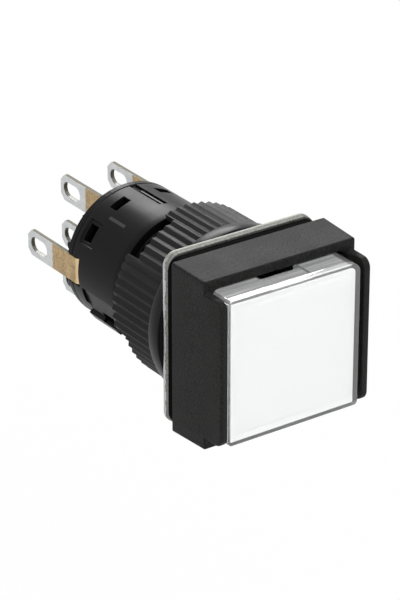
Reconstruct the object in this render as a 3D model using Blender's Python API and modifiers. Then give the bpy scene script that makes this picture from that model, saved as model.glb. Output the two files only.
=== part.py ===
# Self locking, illuminated panel push switch with a square head, 16 mm panel hole.
# Axis along Y: the button faces -Y, the terminals point to +Y, +Z is up.
# The origin is the centre of the head's rear face, which bears on the panel.

import math

import bmesh
import bpy
from mathutils import Matrix, Vector

mm = 0.001

# Clearances
seat = 0.05             # between pieces that touch
slide_gap = 0.1         # beside pieces that slide or plug in
thread_gap = 0.15       # nut and plate over the barrel
cut_over = 1.0          # cutters reach this far past what they cut
round_steps = 64

# Head: a square frame with a guard on its left and right
head_wide = 18.0        # square, at the panel
head_draft = 0.175      # each side draws in by this at the front
head_deep = 5.1
guard_reach = 2.65      # guards stand proud of the head by this
guard_thick = 1.05
guard_drop = 1.4        # guards end short of the head's top and bottom by this
guard_round = 1.0
guard_root = 1.0        # guards are rooted this deep in the head
floor_thick = 1.2       # between the button's pocket and the panel face
edge_round = 0.25

# Button: clear cap, legend plate, holder with a tubular stem
travel = 2.8
button_side_gap = 0.35  # to the guards
button_top_gap = 0.225  # to the head's top and bottom walls
button_round = 0.7
button_chamfer = 0.4
lens_wall = 0.5
lens_front = 0.6
lens_proud = 0.15       # lens face ahead of the guards
lens_skirt = 3.6
inner_round = 0.3
grip_wide = 4.8         # shallow recess for a nail in the top and bottom wall
grip_deep = 0.25
grip_start = 0.9        # behind the lens face
diffuser_thick = 0.8
diffuser_skirt = 0.5    # wall of the plate's skirt, round the holder's frame
frame_thick = 1.95
stem_root = 0.6         # stem runs this far into the square frame
stem_gap = 0.3          # stem in the barrel's bore
stem_wall = 1.0
stem_stop_gap = 1.1     # left behind the stem at full travel
window_step = 0.2       # light window in the frame, smaller than the stem's bore
ledge_behind = 4.65     # spring's ledge behind the square frame
ledge_thick = 0.8
ledge_lip = 0.3         # ledge reaches this far inside the spring

# Threaded barrel
head_overhang = 1.1     # head past the barrel, all round
barrel_wall = 2.0
barrel_long = 8.6
key_wide = 1.8
key_deep = 0.5
key_start = 0.6

# Fixing hardware
hardware_seat = 0.03
gasket_inset = 0.3      # gasket inside the head's outline
gasket_thick = 1.12
plate_side_inset = 0.375
plate_top_over = 0.1    # plate past the head's top and bottom
plate_thick = 0.92
plate_round = 1.4
tongue_gap = 0.12
tongue_tall = 1.2
nut_wall = 0.82
nut_long = 8.35
flutes = 60
flute_deep = 0.2
crest_share = 0.1       # of the flutes' pitch
flank_share = 0.4
collar_step = 0.23      # collar past the flutes
collar_long = 1.2
collar_lap = 0.4        # flutes start this far inside the collar
collar_edge = 0.15
notch_count = 4
notch_span = 35.0       # degrees
notch_middle = 124.3    # degrees from +X towards +Z
notch_deep = 1.65
notch_bulge = 1.15      # notch cutter's middle past its sides, so that it clears the nut's curve

# Contact block
block_inset = 0.6       # block inside the barrel's radius, so that it passes the panel hole
block_wall = 0.7
block_gap = 1.4         # nut to the block's shoulder
block_long = 8.35
block_edge = 0.12
neck_gap = 0.2          # neck's bore over the stem
neck_wall = 0.6
neck_lap = 2.0          # how far the neck sits in the barrel
partition_step = 0.1
partition_thick = 0.8
base_thick = 0.9
base_bore = 0.9
base_edge = 0.15

# Openings in the block's wall: middle and span in degrees from +X towards +Z, start behind the shoulder
front_window = dict(middle=111.5, span=14.4, start=5.75, long=1.2)
rear_frame = dict(middle=145.5, span=20.5, start=5.55, long=2.2)
rear_window = dict(middle=145.4, span=14.2, start=6.0, long=1.35)
low_window = dict(middle=198.7, span=13.6, start=6.1, long=0.6)
rail_window = dict(middle=211.5, span=8.0, start=2.1, long=1.9)
low_flat = dict(middle=201.0, span=22.0, start=1.1, long=4.9)
slit = dict(middle=84.8, span=4.4, start=2.8, long=block_long)
score_line = dict(middle=89.5, span=1.0, start=2.9, long=block_long)
frame_deep = 0.18
score_deep = 0.15
flat_half_angle = 9.5
rail_angle = 219.0
rail_wide = 1.3
rail_proud = 0.4
rail_tall = 1.05
rail_edge = 0.12
rail_start = 2.0
rail_long = 4.6

# Terminals: three rows in two columns, and a lamp blade on each side
blade_wide = 2.8
blade_thick = 0.5
blade_out = 7.4         # blade tips behind the base
blade_chamfer = 0.65
eye_long = 3.05
eye_wide = 1.6
eye_margin = 0.55
neck_wide = 1.2
neck_inset = 0.05       # neck's flats behind the blade's
neck_lap_long = 0.3     # neck's end inside the blade
slot_gap = 0.05
row_margin = 1.5        # outer rows inside the chamber's wall
column_x = 2.86
lamp_inset = 0.36       # lamp blades inside the block's radius
strip_inset = 0.6       # lamp strips inside the chamber's wall
strip_behind = 0.5      # strips' cross run behind the partition
strip_end_x = 1.2
bend_ahead = 0.4        # lamp blades' bend ahead of the block's end
bend_long = 0.6
bend_lap = 0.3
barrier_x = 4.6
barrier_thick = 0.7
barrier_out = 0.55
barrier_wide = 9.6
lug_size = (0.9, 1.2, 0.8)
lug_inset = 0.49
lug_beside = 0.65

# Contacts, slider and latch
pivot_behind = 4.6      # contacts' pivot behind the partition
contact_end_gap = 0.1   # moving contacts end this short of the rows
contact_wide = 2.0
contact_thick = 0.3
contact_tilt = 6.0      # degrees each way
contact_side_gap = 0.2
contact_edge = 0.04
leg_wide = 2.4
leg_thick = 0.8
bar_behind = 1.2
bar_thick = 1.0
cam_short = 0.2         # cam ends this far ahead of the contacts' pivot
track_wide = 2.0
track_deep = 0.35
track_ends = (0.5, 0.3)
heart_long = 1.4
heart_tall = 0.9
heart_from_x = -0.62
heart_to_x = -0.12
pin_r = 0.2
pin_behind = 0.6        # pin's pivot behind the partition
pin_clear = 0.5
pin_short = 0.45        # pin's tip ahead of the cam's end
pin_offset = 0.28
pin_bend = 0.25
pin_dip = 0.2

# Lamp and spring
wire_r = 0.25
spring_turns = 7
spring_gap = 0.5        # spring inside the stem's bore
socket_gap = 0.35
socket_wall = 0.55
socket_long = 9.0
lamp_gap = 1.25         # lamp's dome to the legend plate at full travel
lamp_step = 0.6
lamp_seat = 0.6
lamp_cap_long = 5.4

# Places along Y
head_front = -head_deep
guard_front = head_front - guard_reach
lens_face = guard_front - lens_proud
lens_back = lens_face + lens_skirt
diffuser_back = lens_face + lens_front + seat + diffuser_thick
frame_front = diffuser_back + seat
frame_back = frame_front + frame_thick
ledge_front = frame_back + ledge_behind
ledge_back = ledge_front + ledge_thick
gasket_back = hardware_seat + gasket_thick
plate_back = gasket_back + hardware_seat + plate_thick
nut_front = plate_back + seat
nut_back = nut_front + nut_long
block_start = nut_back + block_gap
block_end = block_start + block_long
neck_front = barrel_long - neck_lap
partition_at = block_start + partition_step
partition_back = partition_at + partition_thick
stem_end = partition_at - travel - stem_stop_gap
base_front = block_end + seat
base_back = base_front + base_thick
blade_tip = base_back + blade_out
lamp_bend_at = block_end - bend_ahead
pivot_at = partition_back + pivot_behind
cam_end = pivot_at - cam_short
pin_pivot_at = partition_back + pin_behind
pin_tip_at = cam_end - pin_short
socket_front = partition_at - socket_long
lamp_top = diffuser_back + travel + lamp_gap
lamp_back = partition_at - lamp_seat

# Radii and half widths, from the head inwards
button_wide = head_wide - 2 * (guard_thick + button_side_gap)
opening_wide = head_wide - 2 * guard_thick
opening_tall = button_wide + 2 * button_top_gap
button_inside = button_wide - 2 * lens_wall
barrel_r = head_wide / 2 - head_overhang
barrel_bore_r = barrel_r - barrel_wall
stem_r = barrel_bore_r - stem_gap
stem_bore_r = stem_r - stem_wall
neck_bore_r = stem_r + neck_gap
neck_r = neck_bore_r + neck_wall
nut_bore_r = barrel_r + thread_gap
nut_r = nut_bore_r + nut_wall
collar_r = nut_r + collar_step
block_r = barrel_r - block_inset
chamber_r = block_r - block_wall
row_pitch = chamber_r - row_margin
lamp_x = block_r - lamp_inset
neck_thick = blade_thick - 2 * neck_inset
strip_x = chamber_r - strip_inset
contact_half = row_pitch - contact_end_gap
leg_z = stem_bore_r + stem_wall / 2
leg_outside = leg_z + leg_thick / 2
pin_z = leg_outside + pin_clear
spring_r = stem_bore_r - spring_gap - wire_r
ledge_r = spring_r - wire_r - ledge_lip
socket_r = ledge_r - socket_gap
lamp_r = socket_r - socket_wall - slide_gap


def fresh_scene():
    for thing in list(bpy.data.objects):
        bpy.data.objects.remove(thing, do_unlink=True)
    groups = []
    for name in ("push_switch", "cutters"):
        group = bpy.data.collections.new(name)
        bpy.context.scene.collection.children.link(group)
        groups.append(group)
    return groups


parts, cutters = fresh_scene()


def finish(name, colour, rough, metal=0.0, alpha=1.0):
    paint = bpy.data.materials.new(name)
    paint.use_nodes = True
    shader = paint.node_tree.nodes["Principled BSDF"]
    shader.inputs["Base Color"].default_value = (*colour, 1.0)
    shader.inputs["Roughness"].default_value = rough
    shader.inputs["Metallic"].default_value = metal
    shader.inputs["Alpha"].default_value = alpha
    return paint


black = finish("satin_black", (0.022, 0.022, 0.023), 0.45)
clear = finish("clear_lens", (0.95, 0.95, 0.95), 0.08, alpha=0.35)
white = finish("white_diffuser", (0.9, 0.9, 0.9), 0.4)
rubber = finish("gasket_rubber", (0.01, 0.01, 0.01), 0.8)
zinc = finish("zinc_steel", (0.72, 0.72, 0.70), 0.3, 1.0)
tinned = finish("tinned_brass", (0.75, 0.74, 0.70), 0.35, 1.0)
steel = finish("spring_steel", (0.6, 0.6, 0.6), 0.3, 1.0)
natural = finish("slider_plastic", (0.8, 0.78, 0.7), 0.4)
milky = finish("lamp_body", (0.85, 0.85, 0.82), 0.3)


def place(thing, paint=None, guide=False):
    """Puts an object in its collection, and hides a cutter from the render."""
    (cutters if guide else parts).objects.link(thing)
    if guide:
        thing.display_type = "WIRE"
        thing.hide_render = True
    else:
        thing.data.materials.append(paint)
    return thing


def from_bmesh(name, shape, paint=None, guide=False, angle=35):
    bmesh.ops.recalc_face_normals(shape, faces=shape.faces)
    mesh = bpy.data.meshes.new(name)
    shape.to_mesh(mesh)
    shape.free()
    mesh.shade_smooth()
    mesh.set_sharp_from_angle(angle=math.radians(angle))
    return place(bpy.data.objects.new(name, mesh), paint, guide)


def block(name, size, centre, paint=None, guide=False, turn=0.0, bevel=0.0):
    """A box of size (x, y, z) at centre, both in mm, turned about Y by turn degrees from +X to +Z."""
    shape = bmesh.new()
    stretch = Matrix.Diagonal((*(Vector(size) * mm), 1.0))
    bmesh.ops.create_cube(shape, size=1.0, matrix=Matrix.Translation(Vector(centre) * mm) @ stretch)
    if bevel:
        bmesh.ops.bevel(shape, geom=shape.edges[:], offset=bevel * mm, segments=2, profile=0.5, affect="EDGES")
    thing = from_bmesh(name, shape, paint, guide)
    thing.rotation_euler = (0.0, -math.radians(turn), 0.0)
    return thing


def pulled(name, corners, pull, paint=None, guide=False):
    """A flat outline of (x, y, z) corners, filled and pulled by a vector, all in mm."""
    shape = bmesh.new()
    face = shape.faces.new([shape.verts.new(Vector(corner) * mm) for corner in corners])
    new = bmesh.ops.extrude_face_region(shape, geom=[face])["geom"]
    moved = [item for item in new if isinstance(item, bmesh.types.BMVert)]
    bmesh.ops.translate(shape, verts=moved, vec=Vector(pull) * mm)
    return from_bmesh(name, shape, paint, guide)


def slab(name, outline, y0, y1, paint=None, guide=False):
    """An outline of (x, z) points, pulled along Y from y0 to y1."""
    return pulled(name, [(x, y0, z) for x, z in outline], (0, y1 - y0, 0), paint, guide)


def side_slab(name, outline, x0, x1, paint=None, guide=False):
    """An outline of (y, z) points, pulled along X from x0 to x1."""
    return pulled(name, [(x0, y, z) for y, z in outline], (x1 - x0, 0, 0), paint, guide)


def turned(name, profile, paint=None, guide=False, steps=round_steps):
    """A profile of (radius, y) points in mm, revolved about Y. One that ends on the axis stays open there."""
    mesh = bpy.data.meshes.new(name)
    area = sum(r * y2 - r2 * y for (r, y), (r2, y2) in zip(profile, profile[1:] + profile[:1]))
    if area > 0:
        profile = profile[::-1]
    points = [(r * mm, y * mm, 0.0) for r, y in profile]
    on_axis = profile[0][0] == 0 and profile[-1][0] == 0
    edges = [(i, (i + 1) % len(points)) for i in range(len(points) - on_axis)]
    mesh.from_pydata(points, edges, [])
    thing = place(bpy.data.objects.new(name, mesh), paint, guide)
    screw = thing.modifiers.new("revolve", "SCREW")
    screw.axis = "Y"
    screw.steps = screw.render_steps = steps
    screw.use_merge_vertices = True
    screw.merge_threshold = 1e-7
    screw.use_smooth_shade = True
    return thing


def boolean(thing, other, way):
    step = thing.modifiers.new(other.name, "BOOLEAN")
    step.operation = way
    step.solver = "EXACT"
    step.object = other
    return thing


def cut(thing, other):
    return boolean(thing, other, "DIFFERENCE")


def join(thing, other):
    return boolean(thing, other, "UNION")


def on_circle(radius, degrees):
    return radius * math.cos(math.radians(degrees)), radius * math.sin(math.radians(degrees))


def rounded(wide, tall, radius, steps=5):
    """Corners of a rounded rectangle, anticlockwise in (x, z)."""
    points = []
    for quarter, (sx, sz) in enumerate(((1, 1), (-1, 1), (-1, -1), (1, -1))):
        cx, cz = sx * (wide / 2 - radius), sz * (tall / 2 - radius)
        for i in range(steps + 1):
            dx, dz = on_circle(radius, 90 * quarter + 90 * i / steps)
            points.append((cx + dx, cz + dz))
    return points


def drill(name, radius, y0, y1, steps=round_steps):
    """A cutter: a cylinder about the switch's axis."""
    return slab(name, [on_circle(radius, 360 * i / steps) for i in range(steps)], y0, y1, guide=True)


def guard_outline(steps=4):
    """Side view of the guards in (y, z), rooted in the head, with round front corners."""
    half = head_wide / 2 - guard_drop
    root = head_front + guard_root
    front_arc = [on_circle(guard_round, 90 + 90 * i / steps) for i in range(steps + 1)]
    cy, cz = guard_front + guard_round, half - guard_round
    upper = [(cy + dy, cz + dz) for dy, dz in front_arc]
    lower = [(y, -z) for y, z in reversed(upper)]
    return [(root, half)] + upper + lower + [(root, -half)]


def make_head():
    """Square head with its guards, the button's pocket and the threaded barrel, one moulding."""
    half, front = head_wide / 2, head_wide / 2 - head_draft
    shape = bmesh.new()
    bmesh.ops.create_cube(shape, size=1.0)
    for corner in shape.verts:
        at_front = corner.co.y < 0
        reach = front if at_front else half
        corner.co = Vector((math.copysign(reach, corner.co.x), head_front if at_front else 0.0,
                            math.copysign(reach, corner.co.z))) * mm
    edges = [e for e in shape.edges if not all(v.co.y == 0 for v in e.verts)]
    bmesh.ops.bevel(shape, geom=edges, offset=edge_round * mm, segments=3, profile=0.5, affect="EDGES")
    head = from_bmesh("head_and_barrel", shape, black)

    guards = side_slab("guard_form", guard_outline(), -front, front, guide=True)
    rim = guards.modifiers.new("rim", "BEVEL")
    rim.width = edge_round * mm
    rim.segments = 2
    rim.limit_method = "ANGLE"
    rim.angle_limit = math.radians(60)
    join(head, guards)

    join(head, drill("barrel_form", barrel_r, -floor_thick / 2, barrel_long))
    cut(head, slab("pocket_cutter", rounded(opening_wide, opening_tall, button_round),
                   guard_front - cut_over, -floor_thick, guide=True))
    cut(head, drill("bore_cutter", barrel_bore_r, -floor_thick - cut_over, barrel_long + cut_over))
    cut(head, drill("neck_bore_cutter", neck_r + slide_gap, neck_front - slide_gap, barrel_long + 2 * cut_over))
    cut(head, block("keyway_cutter", (key_wide, barrel_long, 2 * key_deep),
                    (0, key_start + barrel_long / 2, barrel_r), guide=True))


def make_lens():
    """Clear square cap: rounded corners, chamfered face, a nail recess in its top and bottom walls."""
    half = button_wide / 2
    shape = bmesh.new()
    loops = []
    for inset, y in ((button_chamfer, lens_face), (0.0, lens_face + button_chamfer), (0.0, lens_back)):
        outline = rounded(2 * (half - inset), 2 * (half - inset), button_round - inset / 2)
        loops.append([shape.verts.new((x * mm, y * mm, z * mm)) for x, z in outline])
    count = len(loops[0])
    for a, b in zip(loops, loops[1:]):
        for i in range(count):
            shape.faces.new((a[i], a[(i + 1) % count], b[(i + 1) % count], b[i]))
    shape.faces.new(loops[0])
    shape.faces.new(loops[-1])
    lens = from_bmesh("lens_cap", shape, clear)
    cut(lens, slab("lens_hollow", rounded(button_inside, button_inside, inner_round),
                   lens_face + lens_front, lens_back + cut_over, guide=True))
    for name, sign in (("top", 1), ("bottom", -1)):
        cut(lens, block("grip_" + name, (grip_wide, lens_skirt, 2 * grip_deep),
                        (0, lens_face + grip_start + lens_skirt / 2, sign * half), guide=True))


def make_button():
    """Legend plate with a skirt under the lens, and the holder that carries both on its stem."""
    side = button_inside - 2 * seat
    plate = slab("diffuser_plate", rounded(side, side, inner_round), diffuser_back - diffuser_thick,
                 frame_back, white)
    inside = side - 2 * diffuser_skirt
    cut(plate, slab("diffuser_hollow", rounded(inside, inside, inner_round / 2), diffuser_back,
                    frame_back + cut_over, guide=True))
    frame = inside - 2 * seat
    holder = slab("button_holder", rounded(frame, frame, inner_round / 2), frame_front, frame_back, black)
    join(holder, turned("stem_form", [
        (stem_bore_r, frame_back - stem_root), (stem_r, frame_back - stem_root), (stem_r, stem_end),
        (stem_bore_r, stem_end), (stem_bore_r, ledge_back), (ledge_r, ledge_back),
        (ledge_r, ledge_front), (stem_bore_r, ledge_front)], guide=True))
    cut(holder, drill("window_cutter", stem_bore_r - window_step, frame_front - cut_over,
                      frame_back + cut_over / 2))


def make_gasket_and_plate():
    wide = head_wide - 2 * gasket_inset
    gasket = slab("panel_gasket", rounded(wide, wide, plate_round), hardware_seat, gasket_back, rubber)
    cut(gasket, drill("gasket_bore", barrel_r + slide_gap, -cut_over, gasket_back + cut_over))
    plate = slab("anti_rotation_plate",
                 rounded(head_wide - 2 * plate_side_inset, head_wide + 2 * plate_top_over, plate_round),
                 plate_back - plate_thick, plate_back, zinc)
    hole = drill("plate_bore", nut_bore_r, -cut_over, plate_back + cut_over)
    tongue_root = barrel_r - key_deep + tongue_gap
    cut(hole, block("plate_tongue", (key_wide - 2 * slide_gap, plate_back + 3 * cut_over, tongue_tall),
                    (0, plate_back / 2, tongue_root + tongue_tall / 2), guide=True))
    cut(plate, hole)


def make_nut():
    """Fluted round nut with a plain collar and four wrench notches in its rear end."""
    groove_r = nut_r - flute_deep
    groove_from = crest_share + flank_share
    turns = ((0.0, nut_r), (crest_share, nut_r), (groove_from, groove_r), (1.0 - flank_share, groove_r))
    outline = [on_circle(radius, 360 * (i + share) / flutes) for i in range(flutes) for share, radius in turns]
    nut = slab("fixing_nut", outline, nut_front + collar_lap, nut_back, black)
    collar_back = nut_front + collar_long
    join(nut, turned("collar_form", [
        (barrel_r, nut_front), (collar_r - collar_edge, nut_front), (collar_r, nut_front + collar_edge),
        (collar_r, collar_back - 2 * collar_edge), (collar_r - 2 * collar_edge, collar_back),
        (barrel_r, collar_back)], guide=True))
    cut(nut, drill("nut_bore", nut_bore_r, nut_front - cut_over, nut_back + cut_over))
    far, near = nut_r + cut_over, barrel_r - cut_over
    for i in range(notch_count):
        middle = notch_middle + 360 * i / notch_count
        start, end = middle - notch_span / 2, middle + notch_span / 2
        wedge = [on_circle(near, start), on_circle(far, start), on_circle(notch_bulge * far, middle),
                 on_circle(far, end), on_circle(near, end)]
        cut(nut, slab(f"notch_{i + 1}", wedge, nut_back - notch_deep, nut_back + cut_over, guide=True))


def around(name, opening, mirror, inside, outside):
    """A cutter through the block's wall for one opening, between two radii."""
    angle = 180 - opening["middle"] if mirror else opening["middle"]
    wide = 2 * block_r * math.sin(math.radians(opening["span"] / 2))
    at = block_start + opening["start"] + opening["long"] / 2
    return block(name, (outside - inside, opening["long"], wide), ((inside + outside) / 2, at, 0),
                 guide=True, turn=angle)


def make_contact_block():
    """Hollow cylinder with a neck that plugs into the barrel, snap windows, a slit and a rail each side."""
    housing = turned("contact_housing", [
        (neck_bore_r, neck_front), (neck_r, neck_front), (neck_r, block_start),
        (block_r - block_edge, block_start), (block_r, block_start + block_edge), (block_r, block_end),
        (chamber_r, block_end), (chamber_r, partition_back), (socket_r + slide_gap, partition_back),
        (socket_r + slide_gap, partition_at), (neck_bore_r, partition_at)], black)
    inside, outside = chamber_r - block_wall, block_r + cut_over
    flat_r = block_r * math.cos(math.radians(flat_half_angle))
    for side, mirror in (("left", False), ("right", True)):
        join(housing, block("rail_" + side, (rail_tall, rail_long, rail_wide),
                            (block_r + rail_proud - rail_tall / 2, block_start + rail_start + rail_long / 2, 0),
                            guide=True, turn=180 - rail_angle if mirror else rail_angle, bevel=rail_edge))
        cut(housing, around("front_window_" + side, front_window, mirror, inside, outside))
        cut(housing, around("rear_frame_" + side, rear_frame, mirror, block_r - frame_deep, outside))
        cut(housing, around("rear_window_" + side, rear_window, mirror, inside, outside))
        cut(housing, around("low_window_" + side, low_window, mirror, inside, outside))
        cut(housing, around("rail_window_" + side, rail_window, mirror, inside, outside))
        cut(housing, around("low_flat_" + side, low_flat, mirror, flat_r, outside))
        out = 1 if mirror else -1
        notch_wide = blade_wide + 6 * slot_gap
        notch_from = lamp_x - blade_thick / 2 - 4 * slot_gap
        notch_front = lamp_bend_at - bend_long
        cut(housing, block("blade_notch_" + side, (2 * cut_over, block_end + cut_over - notch_front, notch_wide),
                           (out * (notch_from + cut_over), (block_end + cut_over + notch_front) / 2, 0),
                           guide=True))
    cut(housing, around("slit", slit, False, inside, outside))
    cut(housing, around("score_line", score_line, False, block_r - score_deep, outside))
    for name, sign in (("top", 1), ("bottom", -1)):
        cut(housing, block("leg_slot_" + name, (leg_wide + 2 * slide_gap, 2 * cut_over, leg_thick + 2 * slide_gap),
                           (0, (partition_at + partition_back) / 2, sign * leg_z), guide=True))
    hole = 2 * (pin_r + slide_gap)
    cut(housing, block("pin_hole", (hole, hole, 2 * block_wall), (0, pin_pivot_at, -block_r + block_wall / 2),
                       guide=True))


def make_terminal_base():
    base = turned("terminal_base", [
        (base_bore, base_front), (block_r - base_edge, base_front), (block_r, base_front + base_edge),
        (block_r, base_back - base_edge), (block_r - base_edge, base_back), (base_bore, base_back)], black)
    through = 2 * (base_thick + cut_over)
    for x in (-column_x, column_x):
        for z in (-row_pitch, 0, row_pitch):
            cut(base, block("blade_slot", (neck_thick + 2 * slot_gap, through, neck_wide + 2 * slot_gap),
                            (x, base_front, z), guide=True))
    slot_from = lamp_x - blade_thick / 2 - 4 * slot_gap
    for sign in (-1, 1):
        cut(base, block("lamp_slot", (2 * cut_over, through, blade_wide + 6 * slot_gap),
                        (sign * (slot_from + cut_over), base_front, 0), guide=True))
        join(base, block("barrier", (barrier_thick, 2 * barrier_out, barrier_wide),
                         (sign * barrier_x, base_back, 0), guide=True, bevel=barrier_thick / 7))
        for up in (-1, 1):
            join(base, block("lug", lug_size, (sign * (lamp_x - lug_inset), base_back - 2 * slot_gap,
                                              up * (blade_wide / 2 + lug_beside)), guide=True, bevel=edge_round))


def obround(long, wide, at, z, steps=6):
    """Corners of a slot with round ends, centred at (at, z), long along Y."""
    points = []
    for end in (1, -1):
        for i in range(steps + 1):
            dy, dz = on_circle(wide / 2, -90 * end + 180 * i / steps)
            points.append((at + end * (long - wide) / 2 + dy, z + dz))
    return points


def make_blade(name, start, x, z):
    """Flat strip from start to the tip, with both corners of the tip cut off and an eye."""
    half = blade_wide / 2
    edge = [(blade_tip, half - blade_chamfer), (blade_tip - blade_chamfer, half), (start, half)]
    outline = [(y, z + w) for y, w in edge] + [(y, z - w) for y, w in reversed(edge)]
    blade = side_slab(name, outline, x - blade_thick / 2, x + blade_thick / 2, tinned)
    middle = blade_tip - eye_margin - eye_long / 2
    eye = obround(eye_long, eye_wide, middle, z)
    return cut(blade, side_slab("eye", eye, x - blade_thick, x + blade_thick, guide=True))


def make_contact_terminals():
    rows = (("closed", row_pitch), ("common", 0.0), ("open", -row_pitch))
    lean = math.sin(math.radians(contact_tilt))
    behind = pivot_at + contact_thick / 2 + seat
    for side, x in (("left", -column_x), ("right", column_x)):
        for row, z in rows:
            blade = make_blade(f"terminal_{row}_{side}", base_back + seat, x, z)
            start = behind + lean * (contact_half if z else neck_wide / 2)
            end = base_back + neck_lap_long
            join(blade, block("neck", (neck_thick, end - start, neck_wide), (x, (start + end) / 2, z),
                              guide=True))


def make_lamp_terminals():
    """Blade outside, then a strip that steps inward and runs forward and across to the lamp."""
    half = blade_thick / 2
    strip_at = partition_back + strip_behind
    for side, sign in (("left", -1), ("right", 1)):
        blade = make_blade("lamp_terminal_" + side, lamp_bend_at + bend_lap / 3, sign * lamp_x, 0.0)
        outer = [(lamp_x + half, lamp_bend_at + bend_lap), (lamp_x + half, lamp_bend_at),
                 (strip_x + half, lamp_bend_at - bend_long), (strip_x + half, strip_at - half),
                 (strip_end_x, strip_at - half)]
        inner = [(strip_end_x, strip_at + half), (strip_x - half, strip_at + half),
                 (strip_x - half, lamp_bend_at - bend_long + blade_thick * 0.4),
                 (lamp_x - half, lamp_bend_at + blade_thick * 0.4), (lamp_x - half, lamp_bend_at + bend_lap)]
        corners = [(sign * x, y, -neck_wide / 2) for x, y in outer + inner]
        join(blade, pulled("lamp_strip_" + side, corners, (0, 0, neck_wide), guide=True))


def make_slider():
    """Two legs behind the button's stem, a crossbar between the contacts and the latch's heart cam."""
    leg_front = stem_end + seat
    bar_at = partition_back + bar_behind
    slider = block("contact_slider", (leg_wide, bar_thick, 2 * leg_outside), (0, bar_at + bar_thick / 2, 0),
                   natural)
    for name, sign, end in (("top", 1, bar_at + bar_thick), ("bottom", -1, cam_end)):
        join(slider, block("slider_leg_" + name, (leg_wide, end - leg_front, leg_thick),
                           (0, (end + leg_front) / 2, sign * leg_z), guide=True))
    floor = -leg_outside
    track_front = pin_tip_at - travel - track_ends[0]
    track = block("cam_track", (track_wide, pin_tip_at + track_ends[1] - track_front, 2 * track_deep),
                  (0, (pin_tip_at + track_ends[1] + track_front) / 2, floor), guide=True)
    middle = pin_tip_at - travel / 2
    heart = side_slab("cam_heart", [(middle - heart_long / 2, floor), (middle + heart_long / 2, floor),
                                    (middle, floor + heart_tall)], heart_from_x, heart_to_x, guide=True)
    cut(slider, cut(track, heart))


def make_moving_contacts():
    """A see-saw contact on each side, leaning on its rear terminal at rest."""
    for side, sign in (("left", -1), ("right", 1)):
        contact = block("moving_contact_" + side, (contact_wide, contact_thick, 2 * contact_half), (0, 0, 0),
                        tinned, bevel=contact_edge)
        contact.location = Vector((sign * (leg_wide / 2 + contact_side_gap + contact_wide / 2), pivot_at, 0)) * mm
        contact.rotation_euler = (-math.radians(contact_tilt), 0, 0)


def wire(name, points, radius, paint, sides=2):
    """A round wire along points in mm, its ends capped, made a mesh so that its caps are welded."""
    curve = bpy.data.curves.new(name, "CURVE")
    curve.dimensions = "3D"
    curve.bevel_depth = radius * mm
    curve.bevel_resolution = sides
    curve.use_fill_caps = True
    line = curve.splines.new("POLY")
    line.points.add(len(points) - 1)
    for spot, point in zip(line.points, points):
        spot.co = (*(Vector(point) * mm), 1.0)
    guide = bpy.data.objects.new(name + "_path", curve)
    cutters.objects.link(guide)
    bpy.context.view_layer.update()
    ready = guide.evaluated_get(bpy.context.evaluated_depsgraph_get())
    mesh = bpy.data.meshes.new_from_object(ready)
    bpy.data.objects.remove(guide, do_unlink=True)
    shape = bmesh.new()
    shape.from_mesh(mesh)
    bmesh.ops.remove_doubles(shape, verts=shape.verts, dist=1e-6)
    return from_bmesh(name, shape, paint, angle=50)


def make_latch_pin():
    """Bent wire: one end turns in the housing's wall, the other rides in the heart cam."""
    reach = pin_tip_at - pin_pivot_at
    path = [(0, 0, -block_r + slide_gap + seat), (0, 0, -pin_z - pin_bend), (0, pin_bend, -pin_z),
            (pin_offset, reach - pin_bend, -pin_z), (pin_offset, reach, -pin_z + pin_bend),
            (pin_offset, reach, -leg_outside + pin_dip)]
    pin = wire("latch_pin", path, pin_r, steel)
    pin.location = (0, pin_pivot_at * mm, 0)


def make_spring():
    """Return spring between the holder's ledge and the partition: even coils, and its end coils closed."""
    start = ledge_back + seat + wire_r
    end = partition_at - seat - wire_r
    per_turn = 12
    count = spring_turns * per_turn
    closed = 0.9 * per_turn
    lead = 2.1 * wire_r
    path = []
    for i in range(count + 1):
        front = start + lead * min(i / closed, 1.0)
        back = end - lead * min((count - i) / closed, 1.0)
        share = min(max((i - closed) / (count - 2 * closed), 0.0), 1.0)
        if i > count - closed:
            y = back
        elif i < closed:
            y = front
        else:
            y = start + lead + (end - start - 2 * lead) * share
        x, z = on_circle(spring_r, 360 * i / per_turn)
        path.append((x, y, z))
    wire("return_spring", path, wire_r, steel)


def make_lamp():
    """LED lamp with a domed front, in a plain tubular socket that stands on the partition."""
    dome = [on_circle(lamp_r, a) for a in range(0, 90, 15)]
    profile = [(0.0, lamp_back), (lamp_r - lamp_step, lamp_back), (lamp_r - lamp_step, lamp_back - lamp_cap_long),
               (lamp_r, lamp_back - lamp_cap_long)]
    profile += [(r, lamp_top + lamp_r - rise) for r, rise in dome] + [(0.0, lamp_top)]
    turned("led_lamp", profile, milky, steps=32)
    inner = lamp_r + slide_gap
    turned("lamp_socket", [
        (0.0, partition_back), (socket_r, partition_back), (socket_r, socket_front), (inner, socket_front),
        (inner, partition_at), (0.0, partition_at)], black, steps=32)


make_head()
make_lens()
make_button()
make_gasket_and_plate()
make_nut()
make_contact_block()
make_terminal_base()
make_contact_terminals()
make_lamp_terminals()
make_slider()
make_moving_contacts()
make_latch_pin()
make_spring()
make_lamp()
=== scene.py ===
import math

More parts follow.
